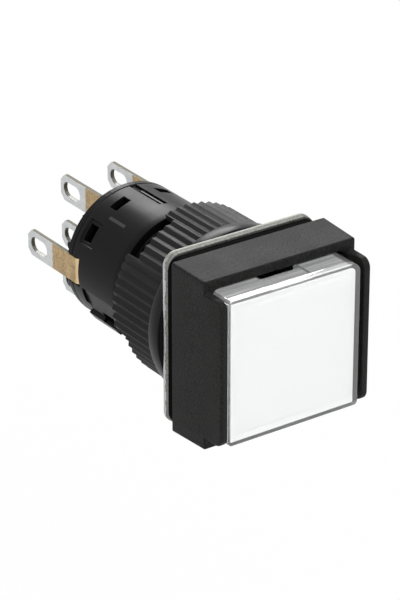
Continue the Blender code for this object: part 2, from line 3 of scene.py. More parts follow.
import bmesh
import bpy
import numpy as np
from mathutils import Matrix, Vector


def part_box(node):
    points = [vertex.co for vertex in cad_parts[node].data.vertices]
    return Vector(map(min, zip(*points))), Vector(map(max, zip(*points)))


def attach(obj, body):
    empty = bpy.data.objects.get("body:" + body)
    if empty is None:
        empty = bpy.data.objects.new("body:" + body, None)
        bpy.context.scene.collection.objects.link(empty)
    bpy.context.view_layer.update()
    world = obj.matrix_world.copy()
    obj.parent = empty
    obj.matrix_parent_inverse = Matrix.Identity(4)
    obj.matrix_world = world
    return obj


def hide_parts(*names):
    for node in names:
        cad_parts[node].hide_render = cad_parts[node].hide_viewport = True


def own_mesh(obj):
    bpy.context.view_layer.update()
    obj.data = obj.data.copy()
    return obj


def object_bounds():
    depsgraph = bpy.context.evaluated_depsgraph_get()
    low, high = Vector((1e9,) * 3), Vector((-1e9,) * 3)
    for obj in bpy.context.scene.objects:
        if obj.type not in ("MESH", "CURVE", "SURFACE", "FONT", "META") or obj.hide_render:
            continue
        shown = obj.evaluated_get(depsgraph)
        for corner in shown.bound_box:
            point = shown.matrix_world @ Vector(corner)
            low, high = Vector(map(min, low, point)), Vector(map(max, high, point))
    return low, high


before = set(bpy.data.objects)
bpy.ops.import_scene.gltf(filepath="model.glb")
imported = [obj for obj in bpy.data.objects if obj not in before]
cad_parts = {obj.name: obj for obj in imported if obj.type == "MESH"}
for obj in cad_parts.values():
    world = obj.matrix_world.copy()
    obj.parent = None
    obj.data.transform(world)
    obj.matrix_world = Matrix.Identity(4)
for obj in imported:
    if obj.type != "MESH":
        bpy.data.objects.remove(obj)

# Self locking push switch with an illuminated square button, seen from the front left and above.
# +Y runs from the button to the terminals. Lengths here are millimetres, angles degrees and noise scales per
# metre, unless a note says otherwise.

mm = 0.001
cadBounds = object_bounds()


def span(node):                       # lowest and highest corner of a CAD node, in millimetres
    low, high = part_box(node)
    return np.array(low) / mm, np.array(high) / mm


# Camera, light and floor

stage = {
    "cameraPlace": (-149.65, -205.70, 126.39),
    "cameraForward": (0.51549, 0.73669, -0.43767),
    "lens": 176.56,
    "sensorWide": 36.0,
    "clip": (20.0, 10000.0),
    "floorBelow": 45.0,
    "floorHalf": 1500.0,
    "floorColour": (0.93, 0.93, 0.93, 1.0),
    "floorRough": 0.9,
    "floorWhite": 0.97,               # share of plain white on the floor, the rest is its lit surface
    "worldLight": 0.35,
    "keyPower": 2.1,                  # watts, all three lamps are large soft squares
    "keyPlace": (235.0, 480.0, 375.0),
    "keySize": 260.0,
    "fillPower": 2.42,
    "fillPlace": (-60.0, -500.0, 480.0),
    "fillSize": 420.0,
    "sidePower": 0.12,
    "sidePlace": (-560.0, 120.0, 200.0),
    "sideSize": 300.0,
}


def mathNode(tree, operation, first, second=0.0):
    node = tree.nodes.new("ShaderNodeMath")
    node.operation = operation
    for socket, value in zip(node.inputs, (first, second)):
        if isinstance(value, (int, float)):
            socket.default_value = value
        else:
            tree.links.new(value, socket)
    return node.outputs[0]


# What the camera sees, itself or in glossy and clear surfaces, has the given share of plain white at
# strength 1. A path that has met a dull surface before gets the lit shader only, so that the white doesn't
# light the object
def whiteToTheEye(tree, lit, white, share, end):
    path = tree.nodes.new("ShaderNodeLightPath")
    seen = mathNode(tree, "MAXIMUM", path.outputs["Is Camera Ray"], path.outputs["Is Glossy Ray"])
    seen = mathNode(tree, "MAXIMUM", seen, path.outputs["Is Transmission Ray"])
    seen = mathNode(tree, "MULTIPLY", seen, mathNode(tree, "LESS_THAN", path.outputs["Diffuse Depth"], 0.5))
    mix = tree.nodes.new("ShaderNodeMixShader")
    tree.links.new(mathNode(tree, "MULTIPLY", seen, share), mix.inputs[0])
    tree.links.new(lit, mix.inputs[1])
    tree.links.new(white, mix.inputs[2])
    tree.links.new(mix.outputs[0], tree.nodes[end].inputs["Surface"])


def makeCamera():
    data = bpy.data.cameras.new("photoCamera")
    data.lens = stage["lens"]
    data.sensor_width = stage["sensorWide"]
    data.clip_start, data.clip_end = (far * mm for far in stage["clip"])
    camera = bpy.data.objects.new("photoCamera", data)
    camera.location = Vector(stage["cameraPlace"]) * mm
    camera.rotation_mode = "QUATERNION"
    camera.rotation_quaternion = Vector(stage["cameraForward"]).to_track_quat("-Z", "Y")
    bpy.context.scene.collection.objects.link(camera)
    bpy.context.scene.camera = camera


# A square lamp that faces the origin
def makeLamp(name):
    data = bpy.data.lights.new(name, "AREA")
    data.energy = stage[name + "Power"]
    data.size = stage[name + "Size"] * mm
    lamp = bpy.data.objects.new(name + "Lamp", data)
    lamp.location = Vector(stage[name + "Place"]) * mm
    lamp.rotation_mode = "QUATERNION"
    lamp.rotation_quaternion = (-lamp.location).to_track_quat("-Z", "Y")
    bpy.context.scene.collection.objects.link(lamp)


def makeFloor():
    half = stage["floorHalf"]
    level = cadBounds[0][2] / mm - stage["floorBelow"]
    corners = [(-half, -half, level), (half, -half, level), (half, half, level), (-half, half, level)]
    mesh = bpy.data.meshes.new("studioFloor")
    mesh.from_pydata((np.array(corners) * mm).tolist(), [], [(0, 1, 2, 3)])
    floor = bpy.data.objects.new("studioFloor", mesh)
    bpy.context.scene.collection.objects.link(floor)

    paint = bpy.data.materials.new("paleFloor")
    paint.use_nodes = True
    tree = paint.node_tree
    shader = tree.nodes["Principled BSDF"]
    shader.inputs["Base Color"].default_value = stage["floorColour"]
    shader.inputs["Roughness"].default_value = stage["floorRough"]
    white = tree.nodes.new("ShaderNodeEmission")
    whiteToTheEye(tree, shader.outputs[0], white.outputs[0], stage["floorWhite"], "Material Output")
    mesh.materials.append(paint)


def makeWorld():
    world = bpy.data.worlds.new("studioWorld")
    bpy.context.scene.world = world
    world.use_nodes = True
    tree = world.node_tree
    soft, white = tree.nodes["Background"], tree.nodes.new("ShaderNodeBackground")
    for light, strength in ((soft, stage["worldLight"]), (white, 1.0)):
        light.inputs["Strength"].default_value = strength
        light.inputs["Color"].default_value = (1.0, 1.0, 1.0, 1.0)
    whiteToTheEye(tree, soft.outputs[0], white.outputs[0], 1.0, "World Output")


makeCamera()
for lampName in ("key", "fill", "side"):
    makeLamp(lampName)
makeFloor()
makeWorld()
bpy.context.scene.view_settings.view_transform = "Standard"
print("stage: camera, three lamps and a pale floor")


# Effects that several finishes share

def newGroup(name, inputs, outputs):
    group = bpy.data.node_groups.new(name, "ShaderNodeTree")
    for label, kind, value in inputs:
        socket = group.interface.new_socket(label, in_out="INPUT", socket_type=kind)
        if value is not None:
            socket.default_value = value
    for label in outputs:
        group.interface.new_socket(label, in_out="OUTPUT", socket_type="NodeSocketFloat")
    return group, group.nodes.new("NodeGroupInput"), group.nodes.new("NodeGroupOutput")


def noiseNode(tree, scale, detail, vector):
    node = tree.nodes.new("ShaderNodeTexNoise")
    node.inputs["Scale"].default_value = scale
    node.inputs["Detail"].default_value = detail
    tree.links.new(vector, node.inputs["Vector"])
    return node.outputs["Fac"]


# The default range is the one that a noise fills
def rangeNode(tree, value, low, high, fromLow=0.3, fromHigh=0.7):
    node = tree.nodes.new("ShaderNodeMapRange")
    node.inputs["From Min"].default_value = fromLow
    node.inputs["From Max"].default_value = fromHigh
    node.inputs["To Min"].default_value = low
    node.inputs["To Max"].default_value = high
    tree.links.new(value, node.inputs["Value"])
    return node.outputs["Result"]


# A vector times another, which is a socket or three numbers
def stretchNode(tree, vector, scale):
    node = tree.nodes.new("ShaderNodeVectorMath")
    node.operation = "MULTIPLY"
    tree.links.new(vector, node.inputs[0])
    if isinstance(scale, tuple):
        node.inputs[1].default_value = scale
    else:
        tree.links.new(scale, node.inputs[1])
    return node.outputs[0]


# Spark-eroded mould texture: fine grain for shade and bump, and broad smears for the gloss, each from 0 to 1
def makeMouldGrain():
    group, inside, outside = newGroup(
        "mouldGrain",
        [("Vector", "NodeSocketVector", None), ("Grain Scale", "NodeSocketFloat", 9000.0)],
        ["Shade", "Smear", "Height"])
    fine = noiseNode(group, 1.0, 3.0, inside.outputs["Vector"])
    group.links.new(inside.outputs["Grain Scale"], fine.node.inputs["Scale"])
    broad = noiseNode(group, 260.0, 4.0, inside.outputs["Vector"])
    group.links.new(rangeNode(group, fine, 0.0, 1.0), outside.inputs["Shade"])
    group.links.new(rangeNode(group, broad, 0.0, 1.0), outside.inputs["Smear"])
    group.links.new(fine, outside.inputs["Height"])
    return group


# Stamped or drawn metal: fine lines along one axis, broad cloudy stains and small pits
def makeMetalSkin():
    group, inside, outside = newGroup(
        "metalSkin",
        [("Vector", "NodeSocketVector", None), ("Line Scale", "NodeSocketVector", (4000.0, 300.0, 4000.0))],
        ["Stain", "Lines", "Pits"])
    stretched = stretchNode(group, inside.outputs["Vector"], inside.outputs["Line Scale"])
    lines = noiseNode(group, 1.0, 2.0, stretched)
    cloud = noiseNode(group, 900.0, 5.0, inside.outputs["Vector"])
    pits = noiseNode(group, 5200.0, 2.0, inside.outputs["Vector"])
    group.links.new(rangeNode(group, cloud, 0.0, 1.0, 0.38, 0.66), outside.inputs["Stain"])
    group.links.new(lines, outside.inputs["Lines"])
    group.links.new(rangeNode(group, pits, 0.0, 1.0, 0.42, 0.75), outside.inputs["Pits"])
    return group


mouldGrain = makeMouldGrain()
metalSkin = makeMetalSkin()


# Parts that the finishes are put together from

def placeNode(tree):
    return tree.nodes.new("ShaderNodeTexCoord").outputs["Object"]


# Object coordinates or the normal, as X, Y and Z
def splitNode(tree, which):
    node = tree.nodes.new("ShaderNodeSeparateXYZ")
    tree.links.new(tree.nodes.new("ShaderNodeTexCoord").outputs[which], node.inputs[0])
    return node.outputs


# From 0 to 1 as a length passes a place, over a soft stretch on both sides of it
def stepNode(tree, value, at, soft):
    return rangeNode(tree, value, 0.0, 1.0, (at - soft) * mm, (at + soft) * mm)


# Y with a noise added, for lines that aren't quite straight
def waveringY(tree, scale, reach):
    waver = rangeNode(tree, noiseNode(tree, scale, 2.0, placeNode(tree)), -reach * mm, reach * mm)
    return mathNode(tree, "ADD", splitNode(tree, "Object")["Y"], waver)


# Two colours mixed by a factor, each of them three numbers or a socket
def tinted(tree, factor, first, second):
    node = tree.nodes.new("ShaderNodeMix")
    node.data_type = "RGBA"
    for socket, value in ((node.inputs["A"], first), (node.inputs["B"], second)):
        if isinstance(value, tuple):
            socket.default_value = (*value, 1.0)
        else:
            tree.links.new(value, socket)
    tree.links.new(factor, node.inputs["Factor"])
    return node.outputs["Result"]


def bump(tree, shader, height, deep):
    node = tree.nodes.new("ShaderNodeBump")
    node.inputs["Distance"].default_value = deep * mm
    tree.links.new(height, node.inputs["Height"])
    tree.links.new(node.outputs["Normal"], shader.inputs["Normal"])


# A material with one of the two effects in it, at the scale of its grain or lines
def newFinish(name, group, scale):
    material = bpy.data.materials.new(name)
    material.use_nodes = True
    tree = material.node_tree
    effect = tree.nodes.new("ShaderNodeGroup")
    effect.node_tree = group
    tree.links.new(placeNode(tree), effect.inputs["Vector"])
    effect.inputs[1].default_value = scale
    return material, tree, tree.nodes["Principled BSDF"], effect.outputs


# Mouldings: the grain mixes two close colours, and the smears move the roughness down and up
def moulded(name, dark, light, rough, gloss, grainScale, grainDeep):
    material, tree, shader, effect = newFinish(name, mouldGrain, grainScale)
    tree.links.new(tinted(tree, effect["Shade"], dark, light), shader.inputs["Base Color"])
    tree.links.new(rangeNode(tree, effect["Smear"], rough - 0.04, rough + 0.05, 0.0, 1.0),
                   shader.inputs["Roughness"])
    shader.inputs["Specular IOR Level"].default_value = gloss
    bump(tree, shader, effect["Height"], grainDeep)
    return material


headBlack = moulded("headBlack", dark=(0.005, 0.005, 0.0048), light=(0.022, 0.022, 0.0213),
                    rough=0.5, gloss=0.12, grainScale=5800.0, grainDeep=0.05)
bodyBlack = moulded("bodyBlack", dark=(0.003, 0.003, 0.0032), light=(0.0055, 0.0055, 0.0055),
                    rough=0.33, gloss=0.092, grainScale=7000.0, grainDeep=0.003)
nutBlack = moulded("nutBlack", dark=(0.007, 0.007, 0.0072), light=(0.011, 0.011, 0.011),
                   rough=0.42, gloss=0.122, grainScale=6000.0, grainDeep=0.003)
innerBlack = moulded("innerBlack", dark=(0.006, 0.006, 0.006), light=(0.010, 0.010, 0.010),
                     rough=0.5, gloss=0.12, grainScale=5000.0, grainDeep=0.004)
sealRubber = moulded("sealRubber", dark=(0.002, 0.002, 0.002), light=(0.004, 0.004, 0.004),
                     rough=0.8, gloss=0.02, grainScale=4000.0, grainDeep=0.01)
naturalNylon = moulded("naturalNylon", dark=(0.62, 0.58, 0.48), light=(0.72, 0.68, 0.58),
                       rough=0.45, gloss=0.4, grainScale=3000.0, grainDeep=0.004)


# A plain printed bar on the contact block, and a painted highlight on the tongue beside its slit
blockPrintAndHighlight = [
    {"middle": 126.4, "half": 1.35, "from": 14.9, "to": 17.6, "colour": (0.062, 0.062, 0.06)},
    # painted highlight along the tongue
    {"middle": 89.15, "half": 0.8, "from": 14.9, "to": 18.6, "colour": (0.13, 0.13, 0.13)},
]
barSoft = {"sides": 0.001, "ends": 0.05}             # radians, and along Y


# Each bar is a mask of the angle round Y, from +X towards +Z, times one of Y
def makeBlockBlack():
    material = bodyBlack.copy()
    material.name = "blockBlack"
    tree = material.node_tree
    baseColour = tree.nodes["Principled BSDF"].inputs["Base Color"]
    place = splitNode(tree, "Object")
    angle = mathNode(tree, "ARCTAN2", place["Z"], place["X"])

    def inside(value, low, high, soft):
        away = mathNode(tree, "ABSOLUTE", mathNode(tree, "SUBTRACT", value, (low + high) / 2))
        return rangeNode(tree, away, 1.0, 0.0, (high - low) / 2 - soft, (high - low) / 2 + soft)

    for bar in blockPrintAndHighlight:
        low, high = (math.radians(bar["middle"] + side * bar["half"]) for side in (-1, 1))
        across = inside(angle, low, high, barSoft["sides"])
        along = inside(place["Y"], bar["from"] * mm, bar["to"] * mm, barSoft["ends"] * mm)
        mask = mathNode(tree, "MULTIPLY", across, along)
        tree.links.new(tinted(tree, mask, baseColour.links[0].from_socket, bar["colour"]), baseColour)
    return material


blockBlack = makeBlockBlack()


plate = {
    "edge": 0.08,                     # rounding of the front edges
    "backEdge": 0.2,
    "tornShare": 0.5,                 # front part of the edge, torn by the punch and set back a little
    "tornInset": 0.05,
    "tornStep": 0.04,                 # half the slope between the two parts
    "tornWaver": 0.09,                # of the line between their colours
    "tornSoft": 0.05,
    "round": 1.4,
    "boreR": 8.05,
    "tongueHalf": 0.8,
    "tongueFloor": 7.52,
    "tongueRamp": 0.2,                # degrees
    "zinc": ((0.56, 0.57, 0.585), (0.42, 0.43, 0.445)),        # clean, and stained
    # painted shade: the zinc's colour is warmer and darker where it faces up
    "zincPaintedShadeUp": (0.30, 0.30, 0.275),                          # warmer and darker where it faces up
    "torn": ((0.24, 0.24, 0.225), (0.10, 0.10, 0.09)),         # plain, and in its pits
    "rough": 0.4,
    "roughTorn": 0.55,
    "roughAbove": 0.62,
    "linesDeep": 0.02,
}


# Where the torn front part of the plate's edge ends, along Y
def tornEnd():
    low, high = span("anti_rotation_plate")
    return low[1] + plate["tornShare"] * (high[1] - low[1])


# Bright zinc: the torn part of the stamped edge is darker and rougher than the sheared part behind it
# Faces that look up get a painted shade in their colour
def makeZinc():
    material, tree, shader, effect = newFinish("brightZinc", metalSkin, (2600.0, 500.0, 2600.0))
    sheared = stepNode(tree, waveringY(tree, 1800.0, plate["tornWaver"]), tornEnd(), plate["tornSoft"])
    # painted shade on the faces that look up; the same mask also raises their roughness
    above = rangeNode(tree, splitNode(tree, "Normal")["Z"], 0.0, 1.0)
    smooth = tinted(tree, above, tinted(tree, effect["Stain"], *plate["zinc"]), plate["zincPaintedShadeUp"])
    torn = tinted(tree, effect["Pits"], *plate["torn"])
    tree.links.new(tinted(tree, sheared, torn, smooth), shader.inputs["Base Color"])
    shader.inputs["Metallic"].default_value = 1.0
    rough = rangeNode(tree, sheared, plate["roughTorn"], plate["rough"], 0.0, 1.0)
    roughAbove = mathNode(tree, "MULTIPLY", above, plate["roughAbove"])
    tree.links.new(mathNode(tree, "MAXIMUM", rough, roughAbove), shader.inputs["Roughness"])
    bump(tree, shader, effect["Lines"], plate["linesDeep"])
    return material


blade = {
    "wide": 2.8,
    "thick": 0.5,                     # of the lamp blades, the others take it from their CAD nodes
    "rowStep": 5.1,                   # between the rows of blades, along Z
    "shoulder": 21.25,                # the neck's width ends there
    "chamfer": 0.65,
    "corner": 0.12,
    "cornerSteps": 5,
    "edge": 0.05,
    "edgeSteps": 3,
    "spacing": 0.3,                   # of the points on the long sides
    "mostPoints": 24,                 # on one of them
    "eyeMargin": 0.55,
    "eyeLong": 3.05,
    "eyeWide": 1.6,
    "neckWide": 1.2,
    "lampX": 6.94,
    "lampStart": 19.95,
    # path of the strips inside, from the lamp blades to the lamp, as x, y and width
    "lampBend": [(6.94, 20.0, 2.8), (6.94, 19.75, 2.8), (6.9, 19.6, 2.8), (6.78, 19.42, 2.8),
                 (6.58, 19.25, 2.8), (6.3, 19.12, 2.8), (6.1, 18.98, 1.3), (6.0, 18.8, 1.2),
                 (6.0, 13.8, 1.2), (5.9, 13.4, 1.2), (5.6, 13.3, 1.2), (1.2, 13.3, 1.2)],
    "tinFrom": 23.93,                 # tinned from here to the tip, bare brass ahead of it
    "tinWaver": 0.07,
    "tinSoft": 0.04,
    "brass": ((0.50, 0.36, 0.19), (0.39, 0.28, 0.145)),        # clean, and stained
    "brassPits": (0.22, 0.145, 0.07),
    "pitsMost": 0.85,
    # painted highlight: paler brass where the lamp blades bend
    "brassPaintedBendHighlight": (0.70, 0.52, 0.30),  # where the lamp blades bend, ahead of bentTo
    "bentTo": 19.65,
    "bentSoft": 0.15,
    "tin": ((0.60, 0.61, 0.61), (0.51, 0.53, 0.54)),           # clean, and stained
    "cutEdge": (0.13, 0.115, 0.08),
    "cutFrom": (0.15, 0.45),          # a cut edge's normal has less than this along X
    "cutMetal": 0.15,
    "cutRough": 0.6,
    "eyeDull": 0.72,                  # the eye's walls have this share of the other cut edges' dullness
    "eyeWithin": (-0.4, -0.1),
    "linesDeep": 0.006,
}


# Mask of the blades' cut edges: their normals have little of X. The eye's walls face the middle line of
# their blade: their height above it, times the normal's Z, is below 0
def cutEdges(tree):
    height, normal = splitNode(tree, "Object")["Z"], splitNode(tree, "Normal")
    cut = rangeNode(tree, mathNode(tree, "ABSOLUTE", normal["X"]), 1.0, 0.0, *blade["cutFrom"])
    step = blade["rowStep"] * mm
    row = mathNode(tree, "ROUND", mathNode(tree, "DIVIDE", height, step))
    offset = mathNode(tree, "SUBTRACT", height, mathNode(tree, "MULTIPLY", row, step))
    outward = mathNode(tree, "MULTIPLY", offset, normal["Z"])
    within = (edge * mm for edge in blade["eyeWithin"])
    return mathNode(tree, "MULTIPLY", cut, rangeNode(tree, outward, blade["eyeDull"], 1.0, *within))


# Brass strip with a dipped tin end: the line between them wavers a little. Cut edges are dull
# The lamp blades' bends get a painted highlight
def makeTinnedBrass():
    material, tree, shader, effect = newFinish("tinnedBrass", metalSkin, (3800.0, 500.0, 3800.0))
    pits = mathNode(tree, "MULTIPLY", effect["Pits"], blade["pitsMost"])
    brass = tinted(tree, pits, tinted(tree, effect["Stain"], *blade["brass"]), blade["brassPits"])
    # painted highlight on the lamp blades' bends, ahead of bentTo
    straight = stepNode(tree, splitNode(tree, "Object")["Y"], blade["bentTo"], blade["bentSoft"])
    brass = tinted(tree, straight, blade["brassPaintedBendHighlight"], brass)
    tin = tinted(tree, effect["Stain"], *blade["tin"])
    tinned = stepNode(tree, waveringY(tree, 1500.0, blade["tinWaver"]), blade["tinFrom"], blade["tinSoft"])
    cut = cutEdges(tree)
    colour = tinted(tree, cut, tinted(tree, tinned, brass, tin), blade["cutEdge"])
    tree.links.new(colour, shader.inputs["Base Color"])
    tree.links.new(rangeNode(tree, cut, 1.0, blade["cutMetal"], 0.0, 1.0), shader.inputs["Metallic"])
    rough = rangeNode(tree, effect["Lines"], 0.30, 0.46)
    roughCut = mathNode(tree, "MULTIPLY", cut, blade["cutRough"])
    tree.links.new(mathNode(tree, "MAXIMUM", rough, roughCut), shader.inputs["Roughness"])
    bump(tree, shader, effect["Lines"], blade["linesDeep"])
    return material


def makeSpringSteel():
    material, tree, shader, effect = newFinish("springSteel", metalSkin, (1500.0, 1500.0, 1500.0))
    steel = tinted(tree, effect["Stain"], (0.55, 0.55, 0.54), (0.42, 0.42, 0.42))
    tree.links.new(steel, shader.inputs["Base Color"])
    shader.inputs["Metallic"].default_value = 1.0
    tree.links.new(rangeNode(tree, effect["Lines"], 0.25, 0.4), shader.inputs["Roughness"])
    return material


# Clear acrylic: lets lamp light straight through to what it covers
def makeAcrylic():
    material, tree, shader, effect = newFinish("clearAcrylic", mouldGrain, 1500.0)
    shader.inputs["Base Color"].default_value = (0.97, 0.975, 0.975, 1.0)
    shader.inputs["Transmission Weight"].default_value = 0.9
    shader.inputs["IOR"].default_value = 1.49
    tree.links.new(rangeNode(tree, effect["Smear"], 0.02, 0.06, 0.0, 1.0), shader.inputs["Roughness"])
    path = tree.nodes.new("ShaderNodeLightPath")
    clear = tree.nodes.new("ShaderNodeBsdfTransparent")
    mix = tree.nodes.new("ShaderNodeMixShader")
    tree.links.new(path.outputs["Is Shadow Ray"], mix.inputs[0])
    tree.links.new(shader.outputs[0], mix.inputs[1])
    tree.links.new(clear.outputs[0], mix.inputs[2])
    tree.links.new(mix.outputs[0], tree.nodes["Material Output"].inputs["Surface"])
    return material


# Milky plastic: the grain mixes the colour with one a little darker
def makeMilkyWhite(name, colour, rough):
    material, tree, shader, effect = newFinish(name, mouldGrain, 2500.0)
    darker = tuple(0.97 * part for part in colour)
    tree.links.new(tinted(tree, effect["Shade"], darker, colour), shader.inputs["Base Color"])
    tree.links.new(rangeNode(tree, effect["Smear"], rough - 0.04, rough + 0.04, 0.0, 1.0),
                   shader.inputs["Roughness"])
    return material


sideShade = {
    # painted shade on the legend plate's sides, behind and below
    "from": -7.0,                     # the sides darken from here to there, along Y
    "to": -4.9,
    "behind": (0.58, 0.58, 0.58),
    "below": (0.08, 0.08, 0.08),
    "streak": (0.28, 0.28, 0.28),
    "streakScale": (60.0, 3000.0, 60.0),
    "streakMost": 0.8,
    "streakRange": (0.46, 0.6),       # of the noise, from no streak to a full one
}


# The legend plate's sides, seen through the cap's walls, have streaks round them and a painted shade that
# makes them darker behind and below
def makeLegendWhite():
    material = makeMilkyWhite("diffuserWhite", (0.93, 0.93, 0.93), 0.4)
    tree = material.node_tree
    baseColour = tree.nodes["Principled BSDF"].inputs["Base Color"]
    white, facing = baseColour.links[0].from_socket, splitNode(tree, "Normal")
    place = splitNode(tree, "Object")
    # painted shade: the sides darken towards the back, and where they face down
    behind = rangeNode(tree, place["Y"], 0.0, 1.0, sideShade["from"] * mm, sideShade["to"] * mm)
    noise = noiseNode(tree, 1.0, 2.0, stretchNode(tree, placeNode(tree), sideShade["streakScale"]))
    streaks = rangeNode(tree, noise, 0.0, sideShade["streakMost"], *sideShade["streakRange"])
    below = rangeNode(tree, facing["Z"], 1.0, 0.0, -0.8, -0.6)
    isFace = rangeNode(tree, facing["Y"], 1.0, 0.0, -0.7, -0.5)
    sides = tinted(tree, behind, white, sideShade["behind"])
    sides = tinted(tree, streaks, sides, sideShade["streak"])
    sides = tinted(tree, below, sides, sideShade["below"])
    tree.links.new(tinted(tree, isFace, sides, white), baseColour)
    return material


brightZinc = makeZinc()
tinnedBrass = makeTinnedBrass()
springSteel = makeSpringSteel()
clearAcrylic = makeAcrylic()
diffuserWhite = makeLegendWhite()
milkyLamp = makeMilkyWhite("milkyLamp", (0.82, 0.82, 0.78), 0.25)
print("finishes: black mouldings, rubber, zinc, tinned brass, spring steel, acrylic, milky white")


# Surfaces

weldWithin = 0.0002                   # vertices this near to each other become one


# Puts vertices and faces into an object, and turns the faces outwards
def makeSkin(name, points, faces, finish, sharpAngle=35.0):
    mesh = bpy.data.meshes.new(name)
    mesh.from_pydata((np.asarray(points).reshape(-1, 3) * mm).tolist(), [], faces)
    shape = bmesh.new()
    shape.from_mesh(mesh)
    bmesh.ops.remove_doubles(shape, verts=shape.verts, dist=weldWithin * mm)
    loose = [vertex for vertex in shape.verts if not vertex.link_faces]
    bmesh.ops.delete(shape, geom=loose, context="VERTS")
    bmesh.ops.recalc_face_normals(shape, faces=shape.faces)
    shape.to_mesh(mesh)
    shape.free()
    mesh.shade_smooth()
    mesh.set_sharp_from_angle(angle=math.radians(sharpAngle))
    mesh.materials.append(finish)
    piece = bpy.data.objects.new(name, mesh)
    bpy.context.scene.collection.objects.link(piece)
    return piece


# Normals weighted by face area, so that flats stay flat up to their rounded edges
def evenNormals(piece):
    step = piece.modifiers.new("even", "WEIGHTED_NORMAL")
    step.keep_sharp = True
    bake(piece)


# Turns a piece's modifiers into its mesh
def bake(piece):
    ready = piece.evaluated_get(bpy.context.evaluated_depsgraph_get())
    mesh = bpy.data.meshes.new_from_object(ready)
    piece.modifiers.clear()
    piece.data = mesh


# A skin that rides on a body and replaces CAD nodes
def makePiece(name, points, faces, finish, body, replaced, sharpAngle=35.0):
    piece = makeSkin(name, points, faces, finish, sharpAngle)
    evenNormals(piece)
    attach(piece, body)
    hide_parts(*replaced)
    return piece


# Faces of a grid whose columns run round and close. ring closes the rows too, keep drops faces and caps fill
# the ends
def gridFaces(rows, columns, ring=False, keep=None, caps=()):
    number = np.arange(rows * columns).reshape(rows, columns)
    above = np.roll(number, -1, axis=0)
    quads = np.stack([number, np.roll(number, -1, axis=1), np.roll(above, -1, axis=1), above], axis=-1)
    if not ring:
        quads = quads[:-1]
    if keep is not None:
        quads = quads[keep[:len(quads)]]
    faces = quads.reshape(-1, 4).tolist()
    if "first" in caps:
        faces.append(number[0].tolist())
    if "last" in caps:
        faces.append(number[-1].tolist())
    return faces


# A rounded rectangle met by rays at the given angles (degrees): the flat side, or the corner's circle
def rayLoop(angles, halfX, halfZ, radius):
    c, s = np.cos(np.radians(angles)), np.sin(np.radians(angles))
    reach = np.minimum(halfX / np.maximum(np.abs(c), 1e-9), halfZ / np.maximum(np.abs(s), 1e-9))
    centreX, centreZ = np.sign(c) * (halfX - radius), np.sign(s) * (halfZ - radius)
    inCorner = (np.abs(reach * c) > halfX - radius) & (np.abs(reach * s) > halfZ - radius)
    along = c * centreX + s * centreZ
    rest = along ** 2 - centreX ** 2 - centreZ ** 2 + radius ** 2
    reach = np.where(inCorner, along + np.sqrt(np.maximum(rest, 0.0)), reach)
    return reach * c, reach * s


# A row of points round Y, with one radius or one for each angle
def circleRow(angles, radius, y):
    return radius * np.cos(np.radians(angles)), y, radius * np.sin(np.radians(angles))


# A rounded rectangle as its four corner arcs only, for slabs whose rings all share it
def cornerLoop(halfA, halfB, radius, steps):
    sweep = np.radians(np.arange(4)[:, None] * 90.0 + np.linspace(0.0, 90.0, steps + 1)[None, :])
    signA = np.array([1, -1, -1, 1])[:, None]
    signB = np.array([1, 1, -1, -1])[:, None]
    a = signA * (halfA - radius) + radius * np.cos(sweep)
    b = signB * (halfB - radius) + radius * np.sin(sweep)
    return a.ravel(), b.ravel()


# Rounded edges of a slab between two depths: inset e(1 - sin t) at depth e(1 - cos t), t from 0 to 90 degrees
def slabRows(low, high, edgeLow, edgeHigh, steps=4):
    t = np.radians(np.linspace(0.0, 90.0, steps + 1))
    inset = np.concatenate([edgeLow * (1 - np.sin(t)), edgeHigh * (1 - np.sin(t[::-1]))])
    depth = np.concatenate([low + edgeLow * (1 - np.cos(t)), high - edgeHigh * (1 - np.cos(t[::-1]))])
    return inset, depth


def stack(rows):                      # rows of (x, y, z) arrays to one grid of points
    return np.array([np.stack(np.broadcast_arrays(x, y, z), axis=-1) for x, y, z in rows])


# Joins separate closed pieces of one moulding into one skin
def union(first, others):
    for other in others:
        step = first.modifiers.new("union", "BOOLEAN")
        step.operation = "UNION"
        step.solver = "EXACT"
        step.object = other
    bake(first)
    for other in others:
        bpy.data.objects.remove(other, do_unlink=True)


# Head with its guards and the threaded barrel

head = {
    "draft": 0.175,
    "deep": 5.1,
    "round": 0.25,                    # of the corners along Y
    "leastRound": 0.02,
    "edge": 0.17,                     # rounding of the front edges
    "edgeSteps": 6,
    "rearEdge": 0.06,
    "rearRound": 0.2,
    "openingHalfX": 7.95,
    "openingHalfZ": 7.825,
    "openingRound": 1.0,
    "openingEdge": 0.1,
    "openingSteps": 4,
    "floorAt": -1.2,
    "floorEdge": 0.12,
    "boreR": 5.9,
    "boreEdge": 0.1,
    "socketR": 6.5,
    "socketDeep": 2.1,
    "threadInside": 1.1,              # from the head's side to the thread's crest
    "threadPitch": 1.0,
    "threadDeep": 0.42,
    "threadFrom": 1.1,
    "threadRise": 0.5,                # it gets deeper over this length
    "threadStop": 0.15,               # ahead of the barrel's end
    "threadFall": 0.3,
    "threadSteps": 14,                # rows in one pitch
    "threadEnds": 0.05,               # from the first and last of them to the barrel's ends
    "keyHalf": 0.9,
    "keyFloor": 7.4,
    "keyFrom": 0.7,
    "keyAt": 7.6,                     # radius at which columns meet the keyway's sides
    "keyRamp": 0.3,                   # degrees
    "columnStep": 3.0,                # degrees
    "cornerColumns": [(9.0, 37), (1.7, 18)],     # degrees to both sides of each corner, and how many
    "guardHalfZ": 7.6,
    "guardRound": 1.0,
    "guardSteps": 8,
    "guardInside": 7.965,
    "guardWithin": 0.01,              # from the head's side to the guard's outer face
    "guardEdge": 0.22,
    "guardInnerEdge": 0.12,
    "guardRoot": 1.6,
}


